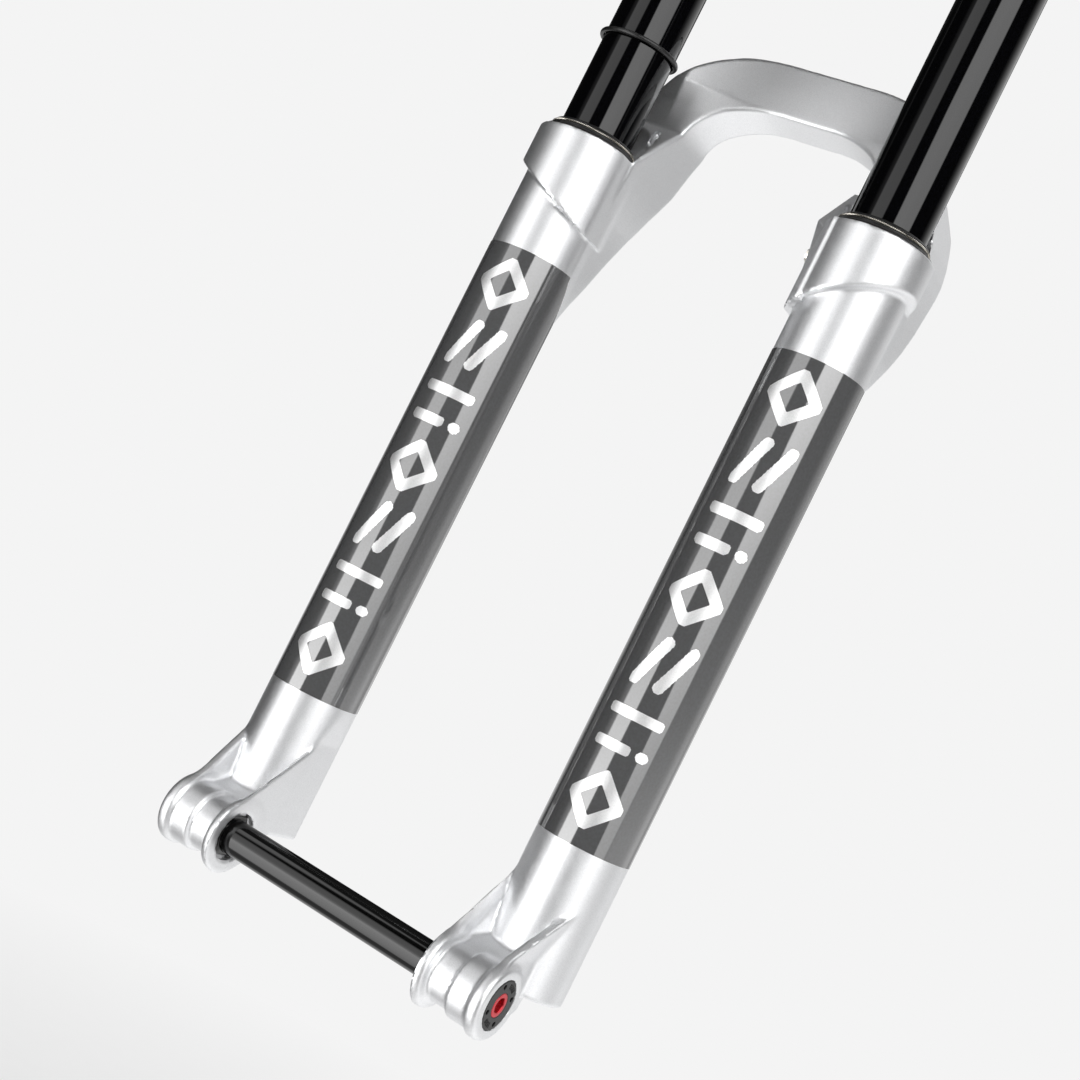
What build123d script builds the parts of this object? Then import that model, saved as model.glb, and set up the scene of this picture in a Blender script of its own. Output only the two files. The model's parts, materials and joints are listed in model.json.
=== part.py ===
from build123d import *
import os

os.makedirs("parts", exist_ok=True)

# A single-crown air suspension fork. The origin is the middle of the wheel axle.
# +Z runs up along the legs, -Y is the front, and +X is the rider's left (brake) side.
# All lengths are millimetres.

# ---------------------------------------------------------------- driving dimensions
HUB_WIDTH = 110.0            # gap between the two dropouts
AXLE_DIAMETER = 15.0
STANCHION_DIAMETER = 34.0
TRAVEL = 150.0
LEG_X = 73.5                 # each leg's axis from the middle plane
LEG_Y = 34.0                 # the legs stand this far behind the wheel axle
STEERER_Y = 44.0             # the steerer's axis: the fork's offset
WIPER_TOP = 343.0
CROWN_GAP = 10.0             # left between wiper and crown at full travel

LEFT = 1                     # air spring and brake side
RIGHT = -1                   # damper side
SIDES = (RIGHT, LEFT)

# ---------------------------------------------------------------- heights on the legs
LEG_BOTTOM = 3.5
FOOT_RECESS_TOP = 12.0
FLOOR_TOP = 18.0             # inside floor, the shafts stand on it
DECAL_LOW = 65.3
DECAL_HIGH = 279.7
COLLAR_EDGE = 308.6          # collar's lower edge where it crosses the leg's axis
COLLAR_TOP = 337.2
STANCHION_LOW = 172.0
CROWN_LOW = WIPER_TOP + TRAVEL + CROWN_GAP
CROWN_TOP = CROWN_LOW + 48.0

# ---------------------------------------------------------------- radii
AXLE_R = AXLE_DIAMETER / 2
STANCHION_R = STANCHION_DIAMETER / 2
STANCHION_BORE_R = 15.0
LEG_R = 20.5
LEG_BORE_R = 18.1
FOOT_BORE_R = 17.4           # narrower where the leg's inner side is cut flat
FOOT_BORE_TOP = 62.0
COLLAR_R = 24.3
WIPER_SEAT_R = 21.0
RUNNING_GAP = 0.05           # radial clearance of a bearing or seal on a moving shaft
SHAFT_R = 5.0
PISTON_R = STANCHION_BORE_R - 0.08


def leg_plane(side, height):
    """Level plane centred on one leg."""
    return Plane(origin=(side * LEG_X, LEG_Y, height))


def leg_section(side):
    """Upright plane through one leg's axis: its x is the radius, its y is the height."""
    return Plane(origin=(side * LEG_X, LEG_Y, 0), x_dir=(1, 0, 0), z_dir=(0, -1, 0))


def leg_axis(side):
    return Axis((side * LEG_X, LEG_Y, 0), (0, 0, 1))


def side_plane(x):
    """Upright plane facing +X: its x is +Y and its y is +Z."""
    return Plane(origin=(x, 0, 0), x_dir=(0, 1, 0), z_dir=(1, 0, 0))


# ================================================================ lower legs
HUB_FACE = HUB_WIDTH / 2
DROPOUT_OUT = 86.3           # outer face of the dropout
INNER_FLANGE_R = 16.2
INNER_PLATE = 4.0
NECK_R = 11.8
BARREL_R = 14.0
BARREL_STEP_X = 70.0
OUTER_FLANGE_R = 15.2
OUTER_RIB = 4.5
COLLAR_SLOPE = 0.5           # rise of the collar's lower edge per mm outwards
COLLAR_LOWEST = COLLAR_EDGE - COLLAR_SLOPE * COLLAR_R

# One leg is drawn on the rider's left and mirrored for the right.
with BuildPart() as collar:
    with BuildSketch(leg_plane(LEFT, COLLAR_LOWEST)):
        Circle(COLLAR_R)
    extrude(amount=COLLAR_TOP - COLLAR_LOWEST)
    chamfer(collar.edges().group_by(Axis.Z)[-1], length=0.5)
    with BuildSketch(Plane.XZ) as below_edge:
        with BuildLine():
            Polyline(
                (LEG_X - 30, COLLAR_EDGE - 30 * COLLAR_SLOPE),
                (LEG_X + 30, COLLAR_EDGE + 30 * COLLAR_SLOPE),
                (LEG_X + 30, COLLAR_LOWEST - 10),
                (LEG_X - 30, COLLAR_LOWEST - 10),
                close=True,
            )
        make_face()
    extrude(amount=100, both=True, mode=Mode.SUBTRACT)

with BuildPart() as left_leg:
    with BuildSketch(leg_plane(LEFT, LEG_BOTTOM)):
        Circle(LEG_R)
    extrude(amount=COLLAR_TOP - 5 - LEG_BOTTOM)

    # The inner side is cut flat down the dropout and runs out on the round leg above it.
    with BuildSketch(Plane.XZ):
        with BuildLine():
            Polyline(
                (HUB_FACE, -5), (HUB_FACE, 50), (LEG_X - LEG_R, 66), (HUB_FACE - 10, 66),
                (HUB_FACE - 10, -5), close=True,
            )
        make_face()
    extrude(amount=100, both=True, mode=Mode.SUBTRACT)
    add(collar.part)

    # Inner plate: from the hub flange up to the leg's front and back to its heel.
    with BuildSketch(side_plane(HUB_FACE)):
        Circle(INNER_FLANGE_R)
        with BuildLine():
            Polyline((24, 46), (40, 46), (43.5, LEG_BOTTOM), (26, LEG_BOTTOM), close=True)
        make_face()
        make_hull()
    extrude(amount=INNER_PLATE)

    # Outer rib: a thinner plate that meets the leg's front.
    with BuildSketch(side_plane(DROPOUT_OUT - OUTER_RIB)):
        Circle(OUTER_FLANGE_R)
        with BuildLine():
            Polyline((22, 42), (30, 41), (30, LEG_BOTTOM), (20, LEG_BOTTOM), close=True)
        make_face()
        make_hull()
    extrude(amount=OUTER_RIB)

    # Web between them, set back so that a pocket is left open to the front.
    with BuildSketch(side_plane(HUB_FACE)):
        Circle(NECK_R)
        with BuildLine():
            Polyline((14, 14), (34, 24), (34, LEG_BOTTOM), (18, LEG_BOTTOM - 2), close=True)
        make_face()
        make_hull()
    extrude(amount=DROPOUT_OUT - HUB_FACE)

    # Axle barrel with its step.
    with BuildSketch(side_plane(BARREL_STEP_X)):
        Circle(BARREL_R)
    extrude(amount=DROPOUT_OUT - BARREL_STEP_X)

# ---------------------------------------------------------------- brake posts, left leg
POST_SPACING = 74.2
POST_MID_Z = 72.0
POST_X = 59.0
POST_FACE_Y = 66.0
POST_R = 8.0
POST_HOLE_R = 3.0
POST_HOLE_DEPTH = 15.0

with BuildPart() as brake_posts:
    for z in (POST_MID_Z - POST_SPACING / 2, POST_MID_Z + POST_SPACING / 2):
        with BuildSketch(Plane(origin=(POST_X, LEG_Y + 6, z), x_dir=(1, 0, 0), z_dir=(0, 1, 0))):
            Circle(POST_R)
        extrude(amount=POST_FACE_Y - LEG_Y - 6)
    # Upright rib that ties the two posts to the leg.
    with BuildSketch(side_plane(POST_X + 2)):
        with BuildLine():
            Polyline(
                (40, POST_MID_Z - POST_SPACING / 2 - 22),
                (POST_FACE_Y - 7, POST_MID_Z - POST_SPACING / 2),
                (POST_FACE_Y - 12, POST_MID_Z),
                (POST_FACE_Y - 7, POST_MID_Z + POST_SPACING / 2),
                (40, POST_MID_Z + POST_SPACING / 2 + 26),
                close=True,
            )
        make_face()
    extrude(amount=6)

# ---------------------------------------------------------------- reverse arch
# The arch is where its front view and its side view overlap, so each is drawn once.
ARCH_HALF_FRONT = [
    (24, 418), (34, 416), (46, 414), (56, 407), (66, 394), (79, 368), (90, 340), (93, 300), (84, 262),
    (60, 256), (57, 270), (54, 303), (51, 324), (49.5, 340), (50.5, 356), (49, 367), (45, 375), (38, 382),
    (28, 387), (18, 389.5),
]
ARCH_SIDE = [
    (34, 256), (34, 338), (44, 348.6), (60, 365.3), (66.5, 378.6), (71.5, 391), (79.5, 418), (89, 413),
    (93, 404), (91, 388), (88, 362), (80, 340), (70, 324), (60, 303), (48, 270), (44, 256),
]
WIPER_CLEARANCE_R = 24.1     # round the leg's axis, above the collar
CROWN_CLEARANCE_TOP = 430.0

with BuildPart() as arch:
    with BuildSketch(Plane.XZ):
        with BuildLine():
            right_half = [(-x, z) for x, z in reversed(ARCH_HALF_FRONT)]
            Polyline(*ARCH_HALF_FRONT, *right_half, close=True)
        make_face()
    extrude(amount=-120)
    with BuildSketch(side_plane(-120)):
        with BuildLine():
            Polyline(*ARCH_SIDE, close=True)
        make_face()
    extrude(amount=240, mode=Mode.INTERSECT)
    for side in SIDES:
        with BuildSketch(leg_plane(side, COLLAR_TOP)):
            Circle(WIPER_CLEARANCE_R)
        extrude(amount=CROWN_CLEARANCE_TOP - COLLAR_TOP, mode=Mode.SUBTRACT)

# ---------------------------------------------------------------- the one-piece casting
HUB_RECESS_R = 10.8          # locates the hub's end cap
HUB_RECESS_DEPTH = 3.0
INSERT_R = 10.5
INSERT_INNER_R = 9.0
AXLE_HEX = 18.0              # across flats
HEX_GAP = 0.05
FOOT_RECESS_R = 11.0
FOOT_HOLE_R = {LEFT: 3.2, RIGHT: 4.2}
COLLAR_BEAD = (59.2, 15.4)
COLLAR_BEAD_R = 2.0
COLLAR_BEAD_LOW = 300.0
GUIDE_SCREW_R = 2.0          # holds the hose guide on the left collar's inner side
GUIDE_SCREW_Y = 39.0
GUIDE_SCREW_Z = 325.0
GUIDE_SCREW_END_X = 54.0

with BuildPart() as lower_casting:
    add(left_leg.part)
    mirror(left_leg.part, about=Plane.YZ)
    add(arch.part)
    add(brake_posts.part)
    # Bead down the left collar, in front of the hose guide.
    with BuildSketch(Plane.XY.offset(COLLAR_BEAD_LOW)):
        with Locations(COLLAR_BEAD):
            Circle(COLLAR_BEAD_R)
    extrude(amount=COLLAR_TOP - COLLAR_BEAD_LOW)
    for side in SIDES:
        # Leg bore, wiper seat and foot recess on the leg's axis.
        with BuildSketch(leg_section(side)):
            with BuildLine():
                Polyline(
                    (0, FLOOR_TOP), (FOOT_BORE_R, FLOOR_TOP), (FOOT_BORE_R, FOOT_BORE_TOP),
                    (LEG_BORE_R, FOOT_BORE_TOP + 1), (LEG_BORE_R, COLLAR_TOP - 6),
                    (WIPER_SEAT_R, COLLAR_TOP - 6), (WIPER_SEAT_R, COLLAR_TOP + 5),
                    (0, COLLAR_TOP + 5), close=True,
                )
            make_face()
        revolve(axis=leg_axis(side), mode=Mode.SUBTRACT)
        with BuildSketch(leg_plane(side, -20)):
            Circle(FOOT_RECESS_R)
        extrude(amount=FOOT_RECESS_TOP + 20, mode=Mode.SUBTRACT)
        with BuildSketch(leg_plane(side, 0)):
            Circle(FOOT_HOLE_R[side])
        extrude(amount=FLOOR_TOP + 1, mode=Mode.SUBTRACT)
        # Flat foot, and a flat inner face for the hub.
        with BuildSketch(Plane.XY.offset(-30)):
            with Locations((side * LEG_X, LEG_Y + 8)):
                Rectangle(60, 44)
        extrude(amount=30 + LEG_BOTTOM, mode=Mode.SUBTRACT)
        # Hub end-cap recess.
        with BuildSketch(side_plane(side * HUB_FACE)):
            Circle(HUB_RECESS_R)
        extrude(amount=side * HUB_RECESS_DEPTH, mode=Mode.SUBTRACT)
    # Left dropout: stepped hole for the threaded insert.
    with BuildSketch(side_plane(HUB_FACE)):
        Circle(INSERT_INNER_R)
    extrude(amount=DROPOUT_OUT - HUB_FACE, mode=Mode.SUBTRACT)
    with BuildSketch(side_plane(DROPOUT_OUT - 6)):
        Circle(INSERT_R)
    extrude(amount=6, mode=Mode.SUBTRACT)
    # Right dropout: hexagonal hole that the axle's head slides through.
    with BuildSketch(side_plane(-DROPOUT_OUT - 1)):
        RegularPolygon(AXLE_HEX / 2 + HEX_GAP, 6, major_radius=False)
    extrude(amount=DROPOUT_OUT - HUB_FACE + 1, mode=Mode.SUBTRACT)
    # Brake bolt holes, then the hose guide's screw hole.
    for z in (POST_MID_Z - POST_SPACING / 2, POST_MID_Z + POST_SPACING / 2):
        with BuildSketch(Plane(origin=(POST_X, POST_FACE_Y, z), x_dir=(1, 0, 0), z_dir=(0, -1, 0))):
            Circle(POST_HOLE_R)
        extrude(amount=POST_HOLE_DEPTH, mode=Mode.SUBTRACT)
    with BuildSketch(side_plane(GUIDE_SCREW_END_X)):
        with Locations((GUIDE_SCREW_Y, GUIDE_SCREW_Z)):
            Circle(GUIDE_SCREW_R)
    extrude(amount=-10, mode=Mode.SUBTRACT)
lower_casting.part.label = "lower_casting"
export_step(lower_casting.part, "parts/lower_casting.step")

# ================================================================ seals, bushings and decals
UPPER_BUSHING = (298.0, 324.0)
LOWER_BUSHING = (184.0, 206.0)
FOAM_RING = (324.5, 330.5)

with BuildPart() as upper_bushings:
    for side in SIDES:
        with BuildSketch(leg_plane(side, UPPER_BUSHING[0])):
            Circle(LEG_BORE_R)
            Circle(STANCHION_R + RUNNING_GAP, mode=Mode.SUBTRACT)
        extrude(amount=UPPER_BUSHING[1] - UPPER_BUSHING[0])
upper_bushings.part.label = "upper_bushings"
export_step(upper_bushings.part, "parts/upper_bushings.step")

with BuildPart() as lower_bushings:
    for side in SIDES:
        with BuildSketch(leg_plane(side, LOWER_BUSHING[0])):
            Circle(LEG_BORE_R)
            Circle(STANCHION_R + RUNNING_GAP, mode=Mode.SUBTRACT)
        extrude(amount=LOWER_BUSHING[1] - LOWER_BUSHING[0])
lower_bushings.part.label = "lower_bushings"
export_step(lower_bushings.part, "parts/lower_bushings.step")

with BuildPart() as foam_rings:
    for side in SIDES:
        with BuildSketch(leg_plane(side, FOAM_RING[0])):
            Circle(LEG_BORE_R)
            Circle(STANCHION_R + RUNNING_GAP, mode=Mode.SUBTRACT)
        extrude(amount=FOAM_RING[1] - FOAM_RING[0])
foam_rings.part.label = "foam_rings"
export_step(foam_rings.part, "parts/foam_rings.step")

# The wiper presses into the collar; its flange covers the rim and its lip wipes the stanchion.
WIPER_FLANGE_R = 23.6
WIPER_FLANGE_TOP = 338.6
WIPER_LIP_R = STANCHION_R + RUNNING_GAP
GARTER_R = 0.6
GARTER_RING_R = 19.9
GARTER_Z = 340.8

with BuildPart() as wiper_seals:
    for side in SIDES:
        with BuildSketch(leg_section(side)):
            with BuildLine():
                Polyline(
                    (17.6, COLLAR_TOP - 6), (WIPER_SEAT_R, COLLAR_TOP - 6), (WIPER_SEAT_R, COLLAR_TOP),
                    (WIPER_FLANGE_R, COLLAR_TOP), (WIPER_FLANGE_R, WIPER_FLANGE_TOP - 0.8),
                    (WIPER_FLANGE_R - 1, WIPER_FLANGE_TOP), (20.6, WIPER_FLANGE_TOP + 0.4),
                    (20.1, GARTER_Z), (19.2, WIPER_TOP - 0.5), (17.8, WIPER_TOP), (WIPER_LIP_R, WIPER_TOP),
                    (WIPER_LIP_R, WIPER_TOP - 1.2), (17.6, WIPER_TOP - 3), close=True,
                )
            make_face()
            with Locations((GARTER_RING_R, GARTER_Z)):
                Circle(GARTER_R, mode=Mode.SUBTRACT)
        revolve(axis=leg_axis(side))
wiper_seals.part.label = "wiper_seals"
export_step(wiper_seals.part, "parts/wiper_seals.step")

with BuildPart() as garter_springs:
    for side in SIDES:
        with BuildSketch(leg_section(side)):
            with Locations((GARTER_RING_R, GARTER_Z)):
                Circle(GARTER_R)
        revolve(axis=leg_axis(side))
garter_springs.part.label = "garter_springs"
export_step(garter_springs.part, "parts/garter_springs.step")

O_RING_Z = 387.0
O_RING_R = 1.15
with BuildPart() as travel_o_ring:
    with BuildSketch(leg_section(RIGHT)):
        with Locations((STANCHION_R + RUNNING_GAP + O_RING_R, O_RING_Z)):
            Circle(O_RING_R)
    revolve(axis=leg_axis(RIGHT))
travel_o_ring.part.label = "travel_o_ring"
export_step(travel_o_ring.part, "parts/travel_o_ring.step")

# A printed film round each leg, cut away where the arch's tail and the brake posts stand.
DECAL_THICKNESS = 0.2
for side, name in ((LEFT, "decal_left"), (RIGHT, "decal_right")):
    with BuildPart() as decal:
        with BuildSketch(leg_plane(side, DECAL_LOW)):
            Circle(LEG_R + DECAL_THICKNESS)
            Circle(LEG_R, mode=Mode.SUBTRACT)
        extrude(amount=DECAL_HIGH - DECAL_LOW)
        add(arch.part, mode=Mode.SUBTRACT)
        add(brake_posts.part, mode=Mode.SUBTRACT)
    decal.part.label = name
    export_step(decal.part, f"parts/{name}.step")

# ================================================================ stanchions, crown and steerer
CIRCLIP_Z = 173.2
CIRCLIP_HEIGHT = 1.4
CIRCLIP_R = 15.8
SEAL_HEAD_LOW = 174.8
SEAL_HEAD_TOP = 190.0
SOCKET_R = 22.5
CAP_THREAD_LOW = CROWN_TOP - 20

for side, name in ((LEFT, "stanchion_left"), (RIGHT, "stanchion_right")):
    with BuildPart() as stanchion:
        with BuildSketch(leg_section(side)):
            with BuildLine():
                Polyline(
                    (STANCHION_BORE_R, STANCHION_LOW), (STANCHION_R - 0.6, STANCHION_LOW),
                    (STANCHION_R, STANCHION_LOW + 1), (STANCHION_R, CROWN_TOP),
                    (STANCHION_BORE_R, CROWN_TOP),
                    (STANCHION_BORE_R, CIRCLIP_Z + CIRCLIP_HEIGHT),
                    (CIRCLIP_R, CIRCLIP_Z + CIRCLIP_HEIGHT), (CIRCLIP_R, CIRCLIP_Z),
                    (STANCHION_BORE_R, CIRCLIP_Z), close=True,
                )
            make_face()
        revolve(axis=leg_axis(side))
    stanchion.part.label = name
    export_step(stanchion.part, f"parts/{name}.step")

BOSS_R = 24.0
RACE_SEAT_R = 19.9           # the headset's lower race is pressed on here
RACE_SEAT_HEIGHT = 6.0
PRESSED_R = 19.5             # the steerer's foot, pressed into the crown
STEERER_TAPER_LOW_R = 19.05
STEERER_R = 14.3
STEERER_TAPER_TOP = CROWN_TOP + 89
STEERER_TOP = CROWN_TOP + 220
ARM_FRONT_Y = 19.0
ARM_REAR_Y = 46.5            # clears the hose guide at full travel

with BuildPart() as crown:
    with BuildSketch(Plane.XY.offset(CROWN_LOW + 6)):
        with BuildLine():
            Polyline(
                (-LEG_X, ARM_FRONT_Y - 2), (-22, ARM_FRONT_Y + 6), (22, ARM_FRONT_Y + 6),
                (LEG_X, ARM_FRONT_Y - 2), (LEG_X, ARM_REAR_Y), (18, ARM_REAR_Y + 10),
                (-18, ARM_REAR_Y + 10), (-LEG_X, ARM_REAR_Y), close=True,
            )
        make_face()
        with Locations((0, STEERER_Y)):
            Circle(BOSS_R)
    extrude(amount=CROWN_TOP - CROWN_LOW - 8)
    # Arched underside that thins the arms.
    with BuildSketch(Plane.XZ):
        with BuildLine():
            ThreePointArc((-LEG_X + 16, CROWN_LOW), (0, CROWN_LOW + 15), (LEG_X - 16, CROWN_LOW))
            Line((LEG_X - 16, CROWN_LOW), (-LEG_X + 16, CROWN_LOW))
        make_face()
    extrude(amount=100, both=True, mode=Mode.SUBTRACT)
    for side in SIDES:
        with BuildSketch(leg_plane(side, CROWN_LOW)):
            Circle(SOCKET_R)
        extrude(amount=CROWN_TOP - CROWN_LOW)
    with BuildSketch(Plane(origin=(0, STEERER_Y, CROWN_LOW + 12))):
        Circle(BOSS_R)
    extrude(amount=CROWN_TOP - CROWN_LOW - 12)
    chamfer(crown.edges().filter_by(GeomType.CIRCLE).group_by(Axis.Z)[-1], length=1.5)
    for side in SIDES:
        with BuildSketch(leg_plane(side, CROWN_LOW - 1)):
            Circle(STANCHION_R)
        extrude(amount=CROWN_TOP - CROWN_LOW + 2, mode=Mode.SUBTRACT)
    with BuildSketch(Plane(origin=(0, STEERER_Y, CROWN_LOW - 1))):
        Circle(PRESSED_R)
    extrude(amount=CROWN_TOP - CROWN_LOW + 2, mode=Mode.SUBTRACT)
crown.part.label = "crown"
export_step(crown.part, "parts/crown.step")

with BuildPart() as steerer_tube:
    with BuildSketch(Plane(origin=(0, STEERER_Y, 0), x_dir=(1, 0, 0), z_dir=(0, -1, 0))):
        with BuildLine():
            Polyline(
                (16.0, CROWN_LOW + 12), (PRESSED_R, CROWN_LOW + 12), (PRESSED_R, CROWN_TOP),
                (RACE_SEAT_R, CROWN_TOP), (RACE_SEAT_R, CROWN_TOP + RACE_SEAT_HEIGHT),
                (STEERER_TAPER_LOW_R, CROWN_TOP + RACE_SEAT_HEIGHT + 1),
                (STEERER_R, STEERER_TAPER_TOP), (STEERER_R, STEERER_TOP), (12.2, STEERER_TOP),
                (12.2, STEERER_TAPER_TOP), (16.0, CROWN_TOP + RACE_SEAT_HEIGHT), close=True,
            )
        make_face()
    revolve(axis=Axis((0, STEERER_Y, 0), (0, 0, 1)))
steerer_tube.part.label = "steerer_tube"
export_step(steerer_tube.part, "parts/steerer_tube.step")

# ================================================================ parts fixed in the stanchions
CAP_FLANGE_R = 20.0
CAP_FLANGE_HEIGHT = 3.5

with BuildPart() as air_top_cap:
    with BuildSketch(leg_section(LEFT)):
        with BuildLine():
            Polyline(
                (4.0, CAP_THREAD_LOW), (STANCHION_BORE_R, CAP_THREAD_LOW), (STANCHION_BORE_R, CROWN_TOP),
                (CAP_FLANGE_R, CROWN_TOP), (CAP_FLANGE_R, CROWN_TOP + 2.5),
                (CAP_FLANGE_R - 1, CROWN_TOP + CAP_FLANGE_HEIGHT), (8.0, CROWN_TOP + CAP_FLANGE_HEIGHT),
                (8.0, CROWN_TOP + 5), (4.0, CROWN_TOP + 5), close=True,
            )
        make_face()
    revolve(axis=leg_axis(LEFT))
    # Flats for a socket.
    with BuildSketch(leg_plane(LEFT, CROWN_TOP + 1.2)):
        Circle(CAP_FLANGE_R + 2)
        RegularPolygon(CAP_FLANGE_R - 1.2, 8, major_radius=False, mode=Mode.SUBTRACT)
    extrude(amount=6, mode=Mode.SUBTRACT)
air_top_cap.part.label = "air_top_cap"
export_step(air_top_cap.part, "parts/air_top_cap.step")

VALVE_R = 3.9
VALVE_BORE_R = 2.3
VALVE_TOP = CROWN_TOP + 18
with BuildPart() as air_valve:
    with BuildSketch(leg_section(LEFT)):
        with BuildLine():
            Polyline(
                (VALVE_BORE_R, CAP_THREAD_LOW - 3), (4.0, CAP_THREAD_LOW - 3), (4.0, CROWN_TOP + 5),
                (VALVE_R, CROWN_TOP + 5.2), (VALVE_R, VALVE_TOP - 0.5), (VALVE_R - 0.5, VALVE_TOP),
                (VALVE_BORE_R, VALVE_TOP), close=True,
            )
        make_face()
    revolve(axis=leg_axis(LEFT))
air_valve.part.label = "air_valve"
export_step(air_valve.part, "parts/air_valve.step")

with BuildPart() as valve_core:
    with BuildSketch(leg_section(LEFT)):
        with BuildLine():
            Polyline(
                (0, CAP_THREAD_LOW - 2), (VALVE_BORE_R, CAP_THREAD_LOW - 2),
                (VALVE_BORE_R, VALVE_TOP - 3), (1.0, VALVE_TOP - 3), (1.0, VALVE_TOP - 1),
                (0, VALVE_TOP - 1), close=True,
            )
        make_face()
    revolve(axis=leg_axis(LEFT))
valve_core.part.label = "valve_core"
export_step(valve_core.part, "parts/valve_core.step")

VALVE_CAP_R = 10.0
with BuildPart() as air_valve_cap:
    with BuildSketch(leg_section(LEFT)):
        with BuildLine():
            Polyline(
                (VALVE_R + RUNNING_GAP, CROWN_TOP + 5.3), (VALVE_CAP_R, CROWN_TOP + 5.3),
                (VALVE_CAP_R, CROWN_TOP + 20), (VALVE_CAP_R - 2, CROWN_TOP + 22),
                (0, CROWN_TOP + 22), (0, CROWN_TOP + 19), (VALVE_R + RUNNING_GAP, CROWN_TOP + 19),
                close=True,
            )
        make_face()
    revolve(axis=leg_axis(LEFT))
    # Grip flutes.
    with BuildSketch(leg_plane(LEFT, CROWN_TOP + 7)):
        with PolarLocations(VALVE_CAP_R + 0.6, 12):
            Circle(1.3)
    extrude(amount=16, mode=Mode.SUBTRACT)
air_valve_cap.part.label = "air_valve_cap"
export_step(air_valve_cap.part, "parts/air_valve_cap.step")

SPACER_HEIGHT = 9.0
with BuildPart() as volume_spacers:
    for count in range(2):
        low = CAP_THREAD_LOW - 4 - (count + 1) * SPACER_HEIGHT - count * 0.5
        with BuildSketch(leg_plane(LEFT, low)):
            Circle(13.0)
            Circle(7.0, mode=Mode.SUBTRACT)
        extrude(amount=SPACER_HEIGHT)
volume_spacers.part.label = "volume_spacers"
export_step(volume_spacers.part, "parts/volume_spacers.step")

ROD_R = 4.5
ROD_LOW = 398.0
LOW_SPEED_STEM_R = 3.0
HIGH_SPEED_STEM_R = 8.0
with BuildPart() as damper_top_cap:
    with BuildSketch(leg_section(RIGHT)):
        with BuildLine():
            Polyline(
                (HIGH_SPEED_STEM_R + RUNNING_GAP, CROWN_TOP - 8),
                (HIGH_SPEED_STEM_R + RUNNING_GAP, CROWN_TOP + CAP_FLANGE_HEIGHT),
                (CAP_FLANGE_R - 1, CROWN_TOP + CAP_FLANGE_HEIGHT), (CAP_FLANGE_R, CROWN_TOP + 2.5),
                (CAP_FLANGE_R, CROWN_TOP), (STANCHION_BORE_R, CROWN_TOP),
                (STANCHION_BORE_R, CAP_THREAD_LOW), (0, CAP_THREAD_LOW), (0, CROWN_TOP - 8), close=True,
            )
        make_face()
    revolve(axis=leg_axis(RIGHT))
    with BuildSketch(leg_plane(RIGHT, CROWN_TOP + 1.2)):
        Circle(CAP_FLANGE_R + 2)
        RegularPolygon(CAP_FLANGE_R - 1.2, 8, major_radius=False, mode=Mode.SUBTRACT)
    extrude(amount=6, mode=Mode.SUBTRACT)
damper_top_cap.part.label = "damper_top_cap"
export_step(damper_top_cap.part, "parts/damper_top_cap.step")

KNOB_LOW = CROWN_TOP + CAP_FLANGE_HEIGHT + 0.4
with BuildPart() as high_speed_knob:
    with BuildSketch(leg_section(RIGHT)):
        with BuildLine():
            Polyline(
                (LOW_SPEED_STEM_R + RUNNING_GAP, CROWN_TOP - 7.5), (HIGH_SPEED_STEM_R, CROWN_TOP - 7.5),
                (HIGH_SPEED_STEM_R, KNOB_LOW), (16.0, KNOB_LOW), (16.0, KNOB_LOW + 4),
                (14.5, KNOB_LOW + 6), (LOW_SPEED_STEM_R + RUNNING_GAP, KNOB_LOW + 6), close=True,
            )
        make_face()
    revolve(axis=leg_axis(RIGHT))
    with BuildSketch(leg_plane(RIGHT, KNOB_LOW)):
        with PolarLocations(17.2, 14):
            Circle(2.2)
    extrude(amount=7, mode=Mode.SUBTRACT)
high_speed_knob.part.label = "high_speed_knob"
export_step(high_speed_knob.part, "parts/high_speed_knob.step")

with BuildPart() as low_speed_knob:
    with BuildSketch(leg_section(RIGHT)):
        with BuildLine():
            Polyline(
                (0, CROWN_TOP - 7), (LOW_SPEED_STEM_R, CROWN_TOP - 7), (LOW_SPEED_STEM_R, KNOB_LOW + 6.4),
                (9.0, KNOB_LOW + 6.4), (9.0, KNOB_LOW + 12), (8.0, KNOB_LOW + 13), (0, KNOB_LOW + 13),
                close=True,
            )
        make_face()
    revolve(axis=leg_axis(RIGHT))
    with BuildSketch(leg_plane(RIGHT, KNOB_LOW + 6.4)):
        with PolarLocations(9.9, 10):
            Circle(1.7)
    extrude(amount=8, mode=Mode.SUBTRACT)
low_speed_knob.part.label = "low_speed_knob"
export_step(low_speed_knob.part, "parts/low_speed_knob.step")

with BuildPart() as compression_rod:
    with BuildSketch(leg_plane(RIGHT, ROD_LOW - 14)):
        Circle(ROD_R)
    extrude(amount=CAP_THREAD_LOW - ROD_LOW + 14)
compression_rod.part.label = "compression_rod"
export_step(compression_rod.part, "parts/compression_rod.step")

with BuildPart() as compression_piston:
    with BuildSketch(leg_plane(RIGHT, ROD_LOW - 12)):
        Circle(PISTON_R)
        Circle(ROD_R, mode=Mode.SUBTRACT)
        with PolarLocations(10, 6):
            Circle(1.8, mode=Mode.SUBTRACT)
    extrude(amount=12)
compression_piston.part.label = "compression_piston"
export_step(compression_piston.part, "parts/compression_piston.step")

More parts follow.
